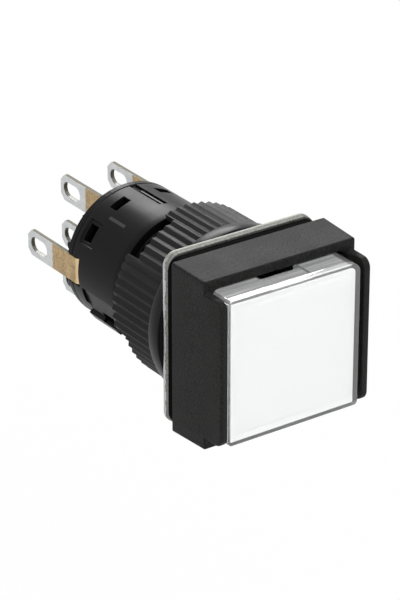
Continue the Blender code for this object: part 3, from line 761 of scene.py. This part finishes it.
# Angles of the columns: closer round the four corners and beside the keyway
def headAngles():
    corners = np.arange(4)[:, None] * 90.0 + 45.0
    lines = [np.arange(0.0, 360.0, head["columnStep"])]
    for reach, count in head["cornerColumns"]:
        lines.append((corners + np.linspace(-reach, reach, count)[None, :]).ravel())
    keyEdge, ramp = math.degrees(math.asin(head["keyHalf"] / head["keyAt"])), head["keyRamp"]
    lines.append(90.0 + np.array([-keyEdge - ramp, -keyEdge, keyEdge, keyEdge + ramp]))
    return np.unique(np.round(np.concatenate(lines) % 360.0, 3))


# The thread from 0 in its root to 1 on its crest: a trapezoid wave of y / pitch - angle / 360, whose root
# takes 0.3 of the pitch, each flank 0.25 and the crest 0.2
def threadWave(angles, y):
    phase = (y / head["threadPitch"] - angles / 360.0) % 1.0
    return np.clip(np.abs(phase - 0.5) * 4.0 - 0.6, 0.0, 1.0)


# Barrel radius: the thread, which fades at both ends, cut by a flat-bottomed keyway at the top
def barrelRadius(angles, y, crest, back):
    fadeIn = np.clip((y - head["threadFrom"]) / head["threadRise"], 0.0, 1.0)
    fadeOut = np.clip((back - head["threadStop"] - y) / head["threadFall"], 0.0, 1.0)
    radius = crest - head["threadDeep"] * (1.0 - threadWave(angles, y)) * fadeIn * fadeOut
    rise = np.sin(np.radians(angles))
    inKey = (np.abs(np.cos(np.radians(angles)) * crest) < head["keyHalf"]) & (rise > 0)
    floor = head["keyFloor"] / np.maximum(rise, 0.1)
    return np.where(inKey & (y > head["keyFrom"]), np.minimum(radius, floor), radius)


# One closed profile: from the rear edge of the square forward, round the front edge into the opening, back
# through the bore and the socket, and forward again along the thread
def makeHead():
    low, high = span("head_and_barrel")
    nodeHalf, back = high[0], high[1]
    crest = nodeHalf - head["threadInside"]
    angles = headAngles()
    front, edge, floorAt = -head["deep"], head["edge"], head["floorAt"]
    rows = []

    def squareRow(half, y, radius, halfZ=None):
        x, z = rayLoop(angles, half, half if halfZ is None else halfZ, radius)
        rows.append((x, y, z))

    def roundRow(radius, y):
        rows.append(circleRow(angles, radius, y))

    squareRow(nodeHalf - head["rearEdge"], 0.0, head["rearRound"])
    squareRow(nodeHalf, -head["rearEdge"], head["round"])
    for t in np.radians(np.linspace(0.0, 90.0, head["edgeSteps"])):
        inset = edge * (1 - math.cos(t))
        squareRow(nodeHalf - head["draft"] - inset, front + edge - edge * math.sin(t),
                  max(head["round"] - inset, head["leastRound"]))
    halfX, halfZ, openingRound = head["openingHalfX"], head["openingHalfZ"], head["openingRound"]
    lip = head["openingEdge"]
    for t in np.radians(np.linspace(0.0, 90.0, head["openingSteps"])):
        grow = lip * (1 - math.sin(t))
        squareRow(halfX + grow, front + lip * (1 - math.cos(t)), openingRound + grow, halfZ + grow)
    inset = head["floorEdge"]
    squareRow(halfX, floorAt - inset, openingRound, halfZ)
    squareRow(halfX - inset, floorAt, openingRound - inset, halfZ - inset)
    boreR, socketR, boreEdge = head["boreR"], head["socketR"], head["boreEdge"]
    roundRow(boreR + boreEdge, floorAt)
    roundRow(boreR, floorAt + boreEdge)
    roundRow(boreR, back - head["socketDeep"])
    roundRow(socketR, back - head["socketDeep"])
    roundRow(socketR, back - boreEdge)
    roundRow(socketR + boreEdge, back)
    roundRow(crest - head["threadDeep"], back)
    ends = head["threadEnds"]
    threadRows = int((back - ends) / head["threadPitch"] * head["threadSteps"])
    for y in np.linspace(back - ends, ends, threadRows):
        taper = np.clip((back - y) / head["threadDeep"], 0.0, 1.0)
        shrink = 1.0 - (1.0 - taper) * head["threadDeep"] / crest
        roundRow(shrink * barrelRadius(angles, y, crest, back), y)
    roundRow(crest, 0.0)
    piece = makePiece("headMoulding", stack(rows), gridFaces(len(rows), len(angles), ring=True), headBlack,
                      "housing", ("head_and_barrel",))
    outside = nodeHalf - head["draft"] - head["guardWithin"]
    union(piece, [makeGuard(side, low[1], outside) for side in (-1, 1)])


# A guard: its side outline carried across from the inner face to the outer one, with round edges. The outer
# face leans as the head's side does: x changes by draft / deep times the distance behind the head's front
def makeGuard(side, front, outside):
    inside, lean = head["guardInside"], head["draft"] / head["deep"]
    back = -head["deep"] + head["guardRoot"]
    rows = []
    for inset, x in zip(*slabRows(inside, outside, head["guardInnerEdge"], head["guardEdge"])):
        y, z = cornerLoop((back - front) / 2 - inset, head["guardHalfZ"] - inset, head["guardRound"] - inset,
                          head["guardSteps"])
        y = y + (front + back) / 2
        outer = (x - inside) / (outside - inside)
        rows.append((side * (x + outer * lean * (y + head["deep"])), y, z))
    return makeSkin("guard", stack(rows), gridFaces(len(rows), len(y), caps=("first", "last")), headBlack)


makeHead()
print("head: square frame, guards and threaded barrel")


# Button: acrylic cap and the white legend plate under it

lens = {
    "shift": -0.15,                   # the button sits a little to the left in its frame
    "faceBack": 0.06,                 # from the CAD cap's face
    "rounds": (0.9, 0.25, 0.25, 0.45),   # corner radii, from the top right one round to the bottom right
    "leastRound": 0.06,
    "edge": 0.16,                     # rounding of the face's edges
    "edgeSteps": 9,
    "wall": (0.28, 0.35),             # at the sides, and above and below
    "inner": (-0.14, -0.08),          # the inner faces lie off the middle by this, as x and z
    "front": 0.48,                    # thickness of the face
    "gripHalf": 2.35,                 # nail notch in the top wall
    "gripRamp": 0.25,                 # degrees
    "gripDeep": 0.2,
    "gripBehind": 0.95,               # it starts this far behind the face
    "gripEnd": 2.8,                   # and the wall is cut away from here on
    "soft": 0.04,
}


def cornerRadii(angles, less):
    quarter = (angles // 90.0).astype(int) % 4
    return np.maximum(np.array(lens["rounds"])[quarter] - less, lens["leastRound"])


# Columns of the cap and of the tray, and whether each one lies in the nail notch (1) or beside it (0)
def capColumns(half):
    gripAngle, ramp = math.degrees(math.atan2(lens["gripHalf"], half)), lens["gripRamp"]
    edges = 90.0 + np.array([-gripAngle - ramp, -gripAngle + ramp, gripAngle - ramp, gripAngle + ramp])
    angles = np.unique(np.round(np.concatenate([headAngles(), edges]), 3))
    return angles, np.clip((gripAngle + ramp - np.abs(angles - 90.0)) / (2 * ramp), 0.0, 1.0)


# A cap: its profile runs from the inner face, back along the wall, round its open end and forward to the face
def makeLens():
    low, high = span("lens_cap")
    half, face, back = high[0], low[1] + lens["faceBack"], high[1]
    angles, inGrip = capColumns(half)
    soft, edge = lens["soft"], lens["edge"]
    rows = []

    def row(halfNow, y, sink=0.0, cut=0.0):
        x, z = rayLoop(angles, halfNow, halfNow, cornerRadii(angles, half - halfNow))
        rows.append((x + lens["shift"], y - inGrip * cut, z - inGrip * sink))

    def innerRow(grow, y, cut=0.0):
        wallX, wallZ = lens["wall"]
        x, z = rayLoop(angles, half - wallX + grow, half - wallZ + grow, cornerRadii(angles, wallX - grow))
        rows.append((x + lens["shift"] + lens["inner"][0], y - inGrip * cut, z + lens["inner"][1]))

    notch = back - face - lens["gripEnd"]
    innerRow(-soft, face + lens["front"])
    innerRow(0.0, face + lens["front"] + soft)
    innerRow(0.0, back - soft, notch)
    innerRow(soft, back, notch)
    row(half - soft, back, lens["gripDeep"], notch)
    row(half, back - soft, lens["gripDeep"], notch)
    gripFront = face + lens["gripBehind"]
    row(half, gripFront + soft, lens["gripDeep"])
    row(half, gripFront)
    for t in np.radians(np.linspace(0.0, 90.0, lens["edgeSteps"])):
        row(half - edge * (1 - math.cos(t)), face + edge * (1 - math.sin(t)))
    makePiece("acrylicCap", stack(rows), gridFaces(len(rows), len(angles), caps=("first", "last")),
              clearAcrylic, "button", ("lens_cap",), 20.0)


legend = {
    "gap": 0.015,                     # to the cap
    "thick": 0.8,
    "skirt": 0.5,
    "edge": 0.06,
    "edgeSteps": 4,
    "grooveFrom": 0.22,               # shallow groove round the face, from its edge inwards
    "grooveWide": 0.68,
    "grooveDeep": 0.03,
}


# A tray: its profile of (reach, y, cut) runs from the floor inside, round the skirt's open end, to the face.
# cut is how far a row moves forward in the cap's nail notch
def makeLegend():
    back = span("diffuser_plate")[1][1]
    capLow, capHigh = span("lens_cap")
    face = capLow[1] + lens["faceBack"]
    wallX, wallZ = lens["wall"]
    half, front = capHigh[0] - wallX - legend["gap"], face + lens["front"] + legend["gap"]
    edge, within, groove = legend["edge"], half - legend["skirt"], half - legend["grooveFrom"]
    inside = front + legend["thick"]
    angles, inGrip = capColumns(capHigh[0])
    notch = back - face - lens["gripEnd"]
    profile = [(within - edge, inside, 0), (within, inside + edge, 0),
               (within, back - edge / 2, notch), (within + edge / 2, back, notch),
               (half - edge / 2, back, notch), (half, back - edge / 2, notch)]
    t = np.radians(np.linspace(0.0, 90.0, legend["edgeSteps"]))
    profile += list(zip(half - edge * (1 - np.cos(t)), front + edge * (1 - np.sin(t)), np.zeros(len(t))))
    profile += [(groove, front, 0), (groove - legend["grooveWide"] / 2, front + legend["grooveDeep"], 0),
                (groove - legend["grooveWide"], front, 0)]
    rows = []
    for reach, y, cut in profile:
        x, z = rayLoop(angles, reach, reach + wallX - wallZ, cornerRadii(angles, capHigh[0] - reach))
        rows.append((x + lens["shift"] + lens["inner"][0], y - inGrip * cut, z + lens["inner"][1]))
    makePiece("legendTray", stack(rows), gridFaces(len(rows), len(angles), caps=("first", "last")),
              diffuserWhite, "button", ("diffuser_plate",), 3.0)


makeLens()
makeLegend()
print("button: acrylic cap and legend plate")


# Gasket and metal plate: a rounded square with a round bore

gasket = {
    "taller": 0.17,                   # than it is wide, at its top and below
    "edge": 0.1,
    "bulge": 0.04,
    "boreR": 8.0,
    "soft": 0.05,                     # rounding of its bore's edges, and of the plate's
}


# The profile is a list of (inset, y) pairs round the outside. The bore is a circle, with or without a flat
# tongue at its top
def makeRing(name, node, profile, boreR, finish, body, tongue=False, taller=0.0):
    low, high = span(node)
    tongueEdge, ramp = math.degrees(math.asin(plate["tongueHalf"] / boreR)), plate["tongueRamp"]
    extra = 90.0 + np.array([-tongueEdge - ramp, -tongueEdge, tongueEdge, tongueEdge + ramp])
    angles = np.unique(np.round(np.concatenate([headAngles(), extra]), 3))
    rows = []
    for inset, y in profile:
        x, z = rayLoop(angles, high[0] - inset, high[2] + taller - inset, plate["round"] - inset)
        rows.append((x, y, z))
    radius = np.full(len(angles), boreR)
    if tongue:
        rise = np.maximum(np.sin(np.radians(angles)), 0.1)
        radius = np.where(np.abs(angles - 90.0) <= tongueEdge + 1e-3, plate["tongueFloor"] / rise, radius)
    soft = gasket["soft"]
    for grow, y in ((soft, high[1]), (0.0, high[1] - soft), (0.0, low[1] + soft), (soft, low[1])):
        rows.append(circleRow(angles, radius + grow, y))
    makePiece(name, stack(rows), gridFaces(len(rows), len(angles), ring=True), finish, body, (node,))


def makeZincPlate():
    low, high = span("anti_rotation_plate")
    inset, depth = slabRows(low[1], high[1], plate["edge"], plate["backEdge"])
    front, slope = len(inset) // 2, plate["tornStep"]
    profile = list(zip(inset[:front] + plate["tornInset"], depth[:front]))
    profile += [(plate["tornInset"], tornEnd() - slope), (0.0, tornEnd() + slope)]
    profile += list(zip(inset[front:], depth[front:]))
    makeRing("zincPlate", "anti_rotation_plate", profile, plate["boreR"], brightZinc, "plate",
             tongue=True)


# The gasket's edge swells by half a sine wave across its thickness
def makeGasket():
    low, high = span("panel_gasket")
    inset, depth = slabRows(low[1], high[1], gasket["edge"], gasket["edge"])
    swell = gasket["bulge"] * np.sin(np.pi * (depth - low[1]) / (high[1] - low[1]))
    profile = list(zip(inset + gasket["bulge"] - swell, depth))
    makeRing("rubberGasket", "panel_gasket", profile, gasket["boreR"], sealRubber, "housing",
             taller=gasket["taller"])


makeZincPlate()
makeGasket()
print("gasket and zinc plate")


# Fixing nut

nut = {
    "flutes": 60,
    "fluteDeep": 0.2,
    "corners": (0.0, 0.1, 0.5, 0.6),  # crest, then groove, as shares of the pitch
    "fluteRows": (0.33, 0.66),        # shares of the flutes' length
    "collarStep": 0.23,
    "collarGrow": 0.08,               # past the CAD collar
    "collarLong": 1.7,
    "collarShine": 0.13,              # less roughness there than on the flutes
    "shineSoft": 0.02,
    "boreR": 8.05,
    "mouth": 0.15,                    # chamfer of the bore in front
    "rearMouth": 0.2,
    "threadDeep": 0.3,
    "threadRows": 60,
    "threadGap": 0.2,                 # from the thread to the front, and to the rear
    "threadRearGap": 0.25,
    "notchMiddle": 124.3,
    "notchSpan": 35.0,
    "notchDeep": 1.65,
    "notchRamp": 0.16,                # degrees
    "notches": 4,
    "soft": 0.08,
    "endSoft": 0.03,
}


# The collar is smoother than the flutes
def makeCollarShine():
    tree = nutBlack.node_tree
    rough = tree.nodes["Principled BSDF"].inputs["Roughness"]
    collarBack = (span("fixing_nut")[0][1] + nut["collarLong"]) * mm
    shine = rangeNode(tree, splitNode(tree, "Object")["Y"], nut["collarShine"], 0.0,
                      collarBack, collarBack + nut["shineSoft"] * mm)
    tree.links.new(mathNode(tree, "SUBTRACT", rough.links[0].from_socket, shine), rough)


# Depth of the flutes from 0 on the crest to 1 in the groove: a trapezoid wave of the angle
def fluteDepth(angles):
    share = angles * nut["flutes"] / 360.0
    return np.interp(share % 1.0, (*nut["corners"], 1.0), (0, 0, 1, 1, 0))


# Columns at each corner of the flutes and at the notches' sides, and whether each one lies in a notch (1) or
# beside it (0)
def nutColumns():
    apart, ramp = 360.0 / nut["notches"], nut["notchRamp"]
    edges = nut["notchMiddle"] + np.arange(nut["notches"])[:, None] * apart
    edges = (edges + np.array([-0.5, 0.5])[None, :] * nut["notchSpan"]).ravel() % 360.0
    steps = (np.arange(nut["flutes"])[:, None] + np.array(nut["corners"])[None, :]).ravel()
    angles = np.concatenate([steps * 360.0 / nut["flutes"], edges - ramp, edges + ramp])
    angles = np.unique(np.round(angles, 4))
    turn = (angles - nut["notchMiddle"] + apart / 2) % apart - apart / 2
    return angles, np.clip((nut["notchSpan"] / 2 + ramp - np.abs(turn)) / (2 * ramp), 0.0, 1.0)


# One closed profile: from the bore's mouth over the collar, back along the flutes, and forward along the
# thread, which fades in its first and last eighth
def makeNut():
    low, high = span("fixing_nut")
    collarR, front = high[0] + nut["collarGrow"], low[1]
    crestR = high[0] - nut["collarStep"]
    angles, inNotch = nutColumns()
    backY = high[1] - nut["notchDeep"] * inNotch
    fluted = crestR - nut["fluteDeep"] * fluteDepth(angles)
    soft, endSoft, bore = nut["soft"], nut["endSoft"], nut["boreR"]
    collarBack = front + nut["collarLong"]
    profile = [(bore + nut["mouth"], front), (collarR - 2 * soft, front),
               (collarR - 0.5 * soft, front + 0.5 * soft), (collarR, front + 2 * soft),
               (collarR, collarBack - 3 * soft), (collarR - 0.8 * soft, collarBack - soft),
               (collarR - 2.5 * soft, collarBack), (fluted, collarBack + 0.25 * soft)]
    profile += [(fluted, collarBack + share * (backY - collarBack)) for share in nut["fluteRows"]]
    profile += [(fluted, backY - endSoft), (fluted - endSoft, backY),
                (bore + nut["rearMouth"], backY), (bore, backY - nut["rearMouth"])]
    threadBack, threadFront = backY - nut["threadRearGap"], front + nut["threadGap"]
    for share in np.linspace(0.0, 1.0, nut["threadRows"]):
        y = threadBack + share * (threadFront - threadBack)
        fade = min(1.0, 8 * share, 8 - 8 * share)
        profile.append((bore + nut["threadDeep"] * (1.0 - threadWave(angles, y)) * fade, y))
    rows = [circleRow(angles, reach, y) for reach, y in profile]
    makePiece("flutedNut", stack(rows), gridFaces(len(rows), len(angles), ring=True), nutBlack, "nut",
              ("fixing_nut",), 30.0)


makeCollarShine()
makeNut()
print("fixing nut: collar, flutes, four wrench notches")


# Contact block

block = {
    "long": 8.35,                     # from the shoulder to the rear end
    "neckR": 6.4,
    "neckBoreR": 5.8,
    "neckEdge": 0.1,
    "neckFillet": 0.05,
    "wall": 0.7,
    "partitionGap": 0.1,              # from the shoulder to the partition inside
    "partitionThick": 0.8,
    "socketHole": 3.05,
    "soft": 0.06,
    "rim": 0.05,                      # half a ramp beside a feature, and how much deeper a hole's edge lies
    "columnStep": 2.5,                # degrees
    "rowCount": 9,
    "flatColumns": 9,
    "nearAngle": 0.01,                # grid lines this near to a hole's side or end lie on it
    "nearHeight": 0.002,
    # each feature: middle and span in degrees, start and length along Y behind the shoulder
    "holes": [(111.5, 14.4, 5.75, 1.2), (144.8, 14.6, 6.25, 1.25), (198.7, 13.6, 6.1, 0.6),
              (211.5, 8.0, 2.1, 1.9), (180.0, 24.5, 7.15, 1.2)],
    "slit": (86.6, 2.8, 2.8, 5.55),
    "flats": [(201.0, 19.0, 1.1, 4.9)],
    # and how far it stands out
    "recesses": [(144.8, 20.5, 5.6, 2.25, -0.15)],
    "rails": [(219.0, 10.2, 2.0, 4.6, 0.4)],
    "scoreLine": (90.9, 1.1, 2.9, 5.45, -0.22),
    "tongueEnd": (89.15, 1.7, 6.75, 1.6, -0.15),
}


# 1 between two values and 0 outside, with a ramp of the given half width
def between(values, low, high, ramp):
    rising = np.clip((values - low + ramp) / (2 * ramp), 0, 1)
    return rising * np.clip((high + ramp - values) / (2 * ramp), 0, 1)


def withTwins(features):              # and the same ones mirrored in the YZ plane
    return features + [(180.0 - middle, *rest) for middle, *rest in features]


# Holes, shapes that stand out or lie deeper, and flats: start and length become start and end in the frame
def blockFeatures(shoulder):
    holes = withTwins(block["holes"]) + [block["slit"]]
    shaped = withTwins(block["recesses"] + block["rails"]) + [block["scoreLine"], block["tongueEnd"]]
    kinds = (holes, shaped, withTwins(block["flats"]))
    return [[(middle, wide, shoulder + start, shoulder + start + long, *rise)
             for middle, wide, start, long, *rise in features] for features in kinds]


# Columns and rows of the outer skin: even ones, and more at the sides and ends of each feature
def blockLines(features, ramp, shoulder, blockEnd):
    holes, shaped, flats = features
    soft, rim = block["soft"], block["rim"]
    around = [np.arange(0.0, 360.0, block["columnStep"])]
    along = [np.linspace(shoulder + 2 * soft, blockEnd - 2 * soft, block["rowCount"])]
    for middle, wide, start, end in holes:
        half = wide / 2
        around.append(middle + np.array([-half - ramp, -half, half, half + ramp]))
        ends = np.array([start, min(end, blockEnd)])
        along.append(np.concatenate([ends - rim, ends, ends + rim]))
    for feature in shaped:
        middle, half = feature[0], feature[1] / 2
        around.append(middle + np.array([-half - ramp, -half + ramp, half - ramp, half + ramp]))
    for feature in flats:
        middle, half = feature[0], feature[1] / 2
        around.append(middle + np.linspace(-half, half, block["flatColumns"]))
    for feature in shaped + flats:
        ends = np.array(feature[2:4])
        along.append(np.concatenate([ends - rim, ends + rim]))
    angles = np.unique(np.round(np.concatenate(around) % 360.0, 3))
    levels = np.unique(np.round(np.concatenate(along), 3))
    return angles, levels[(levels > shoulder + soft) & (levels < blockEnd - soft)]


# Radius of the outer skin at each crossing of the grid, and whether the face that starts there is in a hole
def blockSkin(angles, levels, features, ramp, blockR, blockEnd):
    holes, shaped, flats = features
    rim, nearAngle, nearHeight = block["rim"], block["nearAngle"], block["nearHeight"]
    grid, height = np.meshgrid(angles, levels)
    radius = np.full(grid.shape, blockR)
    isHole = np.zeros(grid.shape, bool)
    nextHeight = np.vstack([height[1:], np.full((1, len(angles)), blockEnd)])

    def turnFrom(middle):
        return (grid - middle + 180.0) % 360.0 - 180.0

    for middle, wide, start, end in flats:
        turn, half = turnFrom(middle), wide / 2
        plane = blockR * math.cos(math.radians(half)) / np.cos(np.radians(np.clip(turn, -half, half)))
        cut = (blockR - plane) * between(height, start, end, rim)
        radius -= np.where(np.abs(turn) <= half, cut, 0.0)
    for middle, wide, start, end, rise in shaped:
        across = between(turnFrom(middle), -wide / 2, wide / 2, ramp)
        radius += rise * across * between(height, start, end, rim)
    for middle, wide, start, end in holes:
        turn, reach, last = turnFrom(middle), wide / 2 + nearAngle, end + nearHeight
        nextTurn = np.roll(turn, -1, axis=1)
        inHole = (np.abs(turn) <= reach) & (height >= start - nearHeight) & (height <= last)
        radius -= np.where(inHole, rim, 0.0)
        isHole |= inHole & (nextTurn <= reach) & (nextTurn > -wide / 2) & (nextHeight <= last)
    return radius, isHole


# Walls of the holes, from the outer skin to the chamber inside. rear holds the rows between the two at the
# open end
def holeWalls(isHole, outer, rear, inner):
    columns = isHole.shape[1]
    walls = []
    ahead = np.vstack([np.zeros((1, columns), bool), isHole])[:-1]
    for j, i in np.argwhere(isHole != ahead):                           # across Y, at their ends
        n = (i + 1) % columns
        walls.append((outer[j, i], outer[j, n], inner[j, n], inner[j, i]))
    for j, i in np.argwhere(isHole != np.roll(isHole, 1, axis=1)):      # along Y, at their sides
        beyond = (outer[j + 1, i], inner[j + 1, i]) if j + 1 < len(outer) else rear[:, i]
        walls.append((outer[j, i], *beyond, inner[j, i]))
    return [[int(corner) for corner in wall] for wall in walls]


# One closed profile: forward through the neck's bore, back over the neck, the shoulder and the outer skin,
# round the open rear end, and forward along the chamber's wall to the partition with its hole for the socket
def makeContactBlock():
    low, high = span("contact_housing")
    neckFront, blockEnd, blockR = low[1], high[1], high[2]
    shoulder = blockEnd - block["long"]
    ramp = math.degrees(block["rim"] / blockR)
    features = blockFeatures(shoulder)
    angles, levels = blockLines(features, ramp, shoulder, blockEnd)
    radius, isHole = blockSkin(angles, levels, features, ramp, blockR, blockEnd)

    boreR, neckR, edge, fillet = block["neckBoreR"], block["neckR"], block["neckEdge"], block["neckFillet"]
    soft, chamberR, holeR = block["soft"], blockR - block["wall"], block["socketHole"]
    partition = shoulder + block["partitionGap"]
    partitionBack = partition + block["partitionThick"]
    profile = [(boreR, partition), (boreR, neckFront + edge), (boreR + edge, neckFront),
               (neckR - edge, neckFront), (neckR, neckFront + edge), (neckR, shoulder - fillet),
               (neckR + fillet, shoulder), (blockR - 2 * soft, shoulder),
               (blockR - 0.5 * soft, shoulder + 0.5 * soft)]
    outerFrom = len(profile)
    profile += list(zip(radius, levels))
    outerTo = len(profile)
    profile += [(blockR - 0.15 * soft, blockEnd - 0.15 * soft), (blockR - 0.5 * soft, blockEnd),
                (chamberR + soft, blockEnd)]
    innerFrom = len(profile)
    profile += [(chamberR, level) for level in levels[::-1]]
    innerTo = len(profile)
    profile += [(chamberR, partitionBack), (holeR, partitionBack), (holeR, partition)]
    rows = [circleRow(angles, reach, y) for reach, y in profile]

    keep = np.ones((len(rows), len(angles)), bool)
    keep[outerFrom:outerTo] = ~isHole
    keep[outerTo:innerFrom] = ~isHole[-1]
    keep[innerFrom:innerTo - 1] = ~isHole[:-1][::-1]
    number = np.arange(keep.size).reshape(keep.shape)
    faces = gridFaces(len(rows), len(angles), ring=True, keep=keep)
    faces += holeWalls(isHole, number[outerFrom:outerTo], number[outerTo:innerFrom],
                       number[innerFrom:innerTo][::-1])
    makePiece("contactBlock", stack(rows), faces, blockBlack, "housing",
              ("contact_housing",), 30.0)


makeContactBlock()
print("contact block: windows, slit, rails and flats")


# Blades: the outline of each one round its eye, as a closed ring of rows

# Rounds the corners of a polygon: each corner becomes an arc tangent to both of its sides
def filleted(corners, radius, steps):
    corners = np.asarray(corners, float)
    before, after = np.roll(corners, 1, axis=0), np.roll(corners, -1, axis=0)
    into = (corners - before) / np.linalg.norm(corners - before, axis=1, keepdims=True)
    out = (after - corners) / np.linalg.norm(after - corners, axis=1, keepdims=True)
    bend = np.arctan2(into[:, 0] * out[:, 1] - into[:, 1] * out[:, 0], np.sum(into * out, axis=1))
    reach = radius * np.abs(np.tan(bend / 2))
    start = corners - into * reach[:, None]
    side = np.sign(bend)[:, None] * np.stack([-into[:, 1], into[:, 0]], axis=1)
    centre = start + side * radius
    sweep = bend[:, None] * np.linspace(0.0, 1.0, steps + 1)[None, :]
    spoke = -side[:, None, :]
    c, s = np.cos(sweep), np.sin(sweep)
    turned = np.stack([spoke[..., 0] * c - spoke[..., 1] * s, spoke[..., 0] * s + spoke[..., 1] * c], axis=-1)
    return (centre[:, None, :] + radius * turned).reshape(-1, 2)


# More points on the long sides: the outline resampled between its own corners
def insertPoints(outline):
    following = np.roll(outline, -1, axis=0)
    finer = []
    for point, after, length in zip(outline, following, np.linalg.norm(following - outline, axis=1)):
        count = max(1, min(blade["mostPoints"], int(length / blade["spacing"])))
        finer.append(point + (after - point) * np.arange(count)[:, None] / count)
    return np.concatenate(finer)


# A flat blade from its start to its tip, with a neck ahead of its shoulder. Each column of the grid runs from
# the outline on one face to the other face and back through the eye, at the point that the same ray meets
def bladePoints(middleX, middleZ, start, shoulder, tip, thick):
    half, neck, cut = blade["wide"] / 2, blade["neckWide"] / 2, blade["chamfer"]
    side = [(tip, half - cut), (tip - cut, half), (shoulder, half)]
    if start < shoulder:
        side += [(shoulder, neck), (start, neck)]
    corners = np.array(side + [(y, -z) for y, z in reversed(side)])
    outline = insertPoints(filleted(corners, blade["corner"], blade["cornerSteps"]))
    eyeAt = np.array([tip - blade["eyeMargin"] - blade["eyeLong"] / 2, 0.0])
    angles = np.degrees(np.arctan2(outline[:, 1], outline[:, 0] - eyeAt[0]))
    eyeHalf = blade["eyeWide"] / 2
    eye = np.stack(rayLoop(angles, blade["eyeLong"] / 2, eyeHalf, eyeHalf - 1e-4), axis=1)
    eyeOut = eye / np.linalg.norm(eye, axis=1, keepdims=True)
    run = np.roll(outline, -1, axis=0) - np.roll(outline, 1, axis=0)
    inward = np.stack([-run[:, 1], run[:, 0]], axis=1) / np.linalg.norm(run, axis=1, keepdims=True)
    inset, depth = slabRows(middleX - thick / 2, middleX + thick / 2, blade["edge"], blade["edge"],
                            blade["edgeSteps"])
    rings = [(x, outline + inward * i) for i, x in zip(inset, depth)]
    rings += [(x, eye + eyeOut * i + eyeAt) for i, x in zip(inset[::-1], depth[::-1])]
    return stack([(x, ring[:, 0], ring[:, 1] + middleZ) for x, ring in rings])


def makeBlades():
    for side in ("left", "right"):
        for row in ("closed", "common", "open"):
            node = f"terminal_{row}_{side}"
            low, high = span(node)
            middle = (low + high) / 2
            points = bladePoints(middle[0], middle[2], low[1], blade["shoulder"], high[1], high[0] - low[0])
            makePiece(f"{row}Blade{side.title()}", points, gridFaces(len(points), points.shape[1], ring=True),
                      tinnedBrass, "housing", (node,), 40.0)


# A strip bent along a path of (x, y, width): a rectangle set square to the path at each point
def stripPoints(path, thick):
    path = np.asarray(path, float)
    middle, half = path[:, :2], path[:, 2] / 2
    run = np.gradient(middle, axis=0)
    run /= np.linalg.norm(run, axis=1, keepdims=True)
    side = np.stack([-run[:, 1], run[:, 0]], axis=1) * thick / 2
    a, b = middle + side, middle - side
    across = np.stack([a, b, b, a], axis=1)
    along = np.stack([half, half, -half, -half], axis=1)
    return np.concatenate([across, along[..., None]], axis=2)


def makeLampBlades():
    for side, sign in (("left", -1), ("right", 1)):
        node = f"lamp_terminal_{side}"
        start, tip = blade["lampStart"], span(node)[1][1]
        points = bladePoints(sign * blade["lampX"], 0.0, start, start, tip, blade["thick"])
        faces = gridFaces(len(points), points.shape[1], ring=True)
        strip = stripPoints([(sign * x, y, wide) for x, y, wide in blade["lampBend"]], blade["thick"])
        offset = points.shape[0] * points.shape[1]
        more = gridFaces(len(strip), 4, caps=("first", "last"))
        faces += [[number + offset for number in face] for face in more]
        everything = np.concatenate([points.reshape(-1, 3), strip.reshape(-1, 3)])
        makePiece(f"lampBlade{side.title()}", everything, faces, tinnedBrass, "housing",
                  (node,), 40.0)


makeBlades()
makeLampBlades()
print("terminals: six contact blades and two lamp blades")


# Return spring: a tube of wire round a helix

spring = {
    "coilR": 3.85,
    "wireR": 0.25,
    "turns": 7,
    "closedTurns": 0.9,               # at each end
    "closedLead": 2.1,                # in radii of the wire
    "stepsPerTurn": 28,
    "sides": 12,
    "travel": 2.8,                    # of the button
}


# The wire's middle is a helix round Y, whose lead is small in the closed turns at its ends
def makeSpring():
    low, high = span("return_spring")
    wire, turns, closed = spring["wireR"], spring["turns"], spring["closedTurns"]
    first, last, lead = low[1] + wire, high[1] - wire, spring["closedLead"] * wire
    count = turns * spring["stepsPerTurn"] + 1
    turn = np.linspace(0.0, turns, count)
    y = np.interp(turn, [0.0, closed, turns - closed, turns], [first, first + lead, last - lead, last])
    a = 2 * np.pi * turn
    centre = np.stack([spring["coilR"] * np.cos(a), y, spring["coilR"] * np.sin(a)], axis=1)
    run = np.gradient(centre, axis=0)
    run /= np.linalg.norm(run, axis=1, keepdims=True)
    outward = np.stack([np.cos(a), np.zeros(count), np.sin(a)], axis=1)
    across = np.cross(run, outward)
    b = 2 * np.pi * np.arange(spring["sides"]) / spring["sides"]
    points = centre[:, None, :] + wire * (np.cos(b)[None, :, None] * outward[:, None, :]
                                          + np.sin(b)[None, :, None] * across[:, None, :])
    coil = makePiece("returnCoil", points, gridFaces(count, spring["sides"], caps=("first", "last")),
                     springSteel, "housing", ("return_spring",))
    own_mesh(coil)


makeSpring()
print("return spring")


# Pieces whose CAD shape is right keep it, with a finish

keptFinishes = {
    "button_holder": innerBlack,
    "terminal_base": bodyBlack,
    "contact_slider": naturalNylon,
    "moving_contact_left": tinnedBrass,
    "moving_contact_right": tinnedBrass,
    "latch_pin": springSteel,
    "led_lamp": milkyLamp,
    "lamp_socket": innerBlack,
}

for node, finish in keptFinishes.items():
    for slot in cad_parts[node].material_slots:
        slot.material = finish
print("kept pieces: holder, base, slider, contacts, latch, lamp and socket")
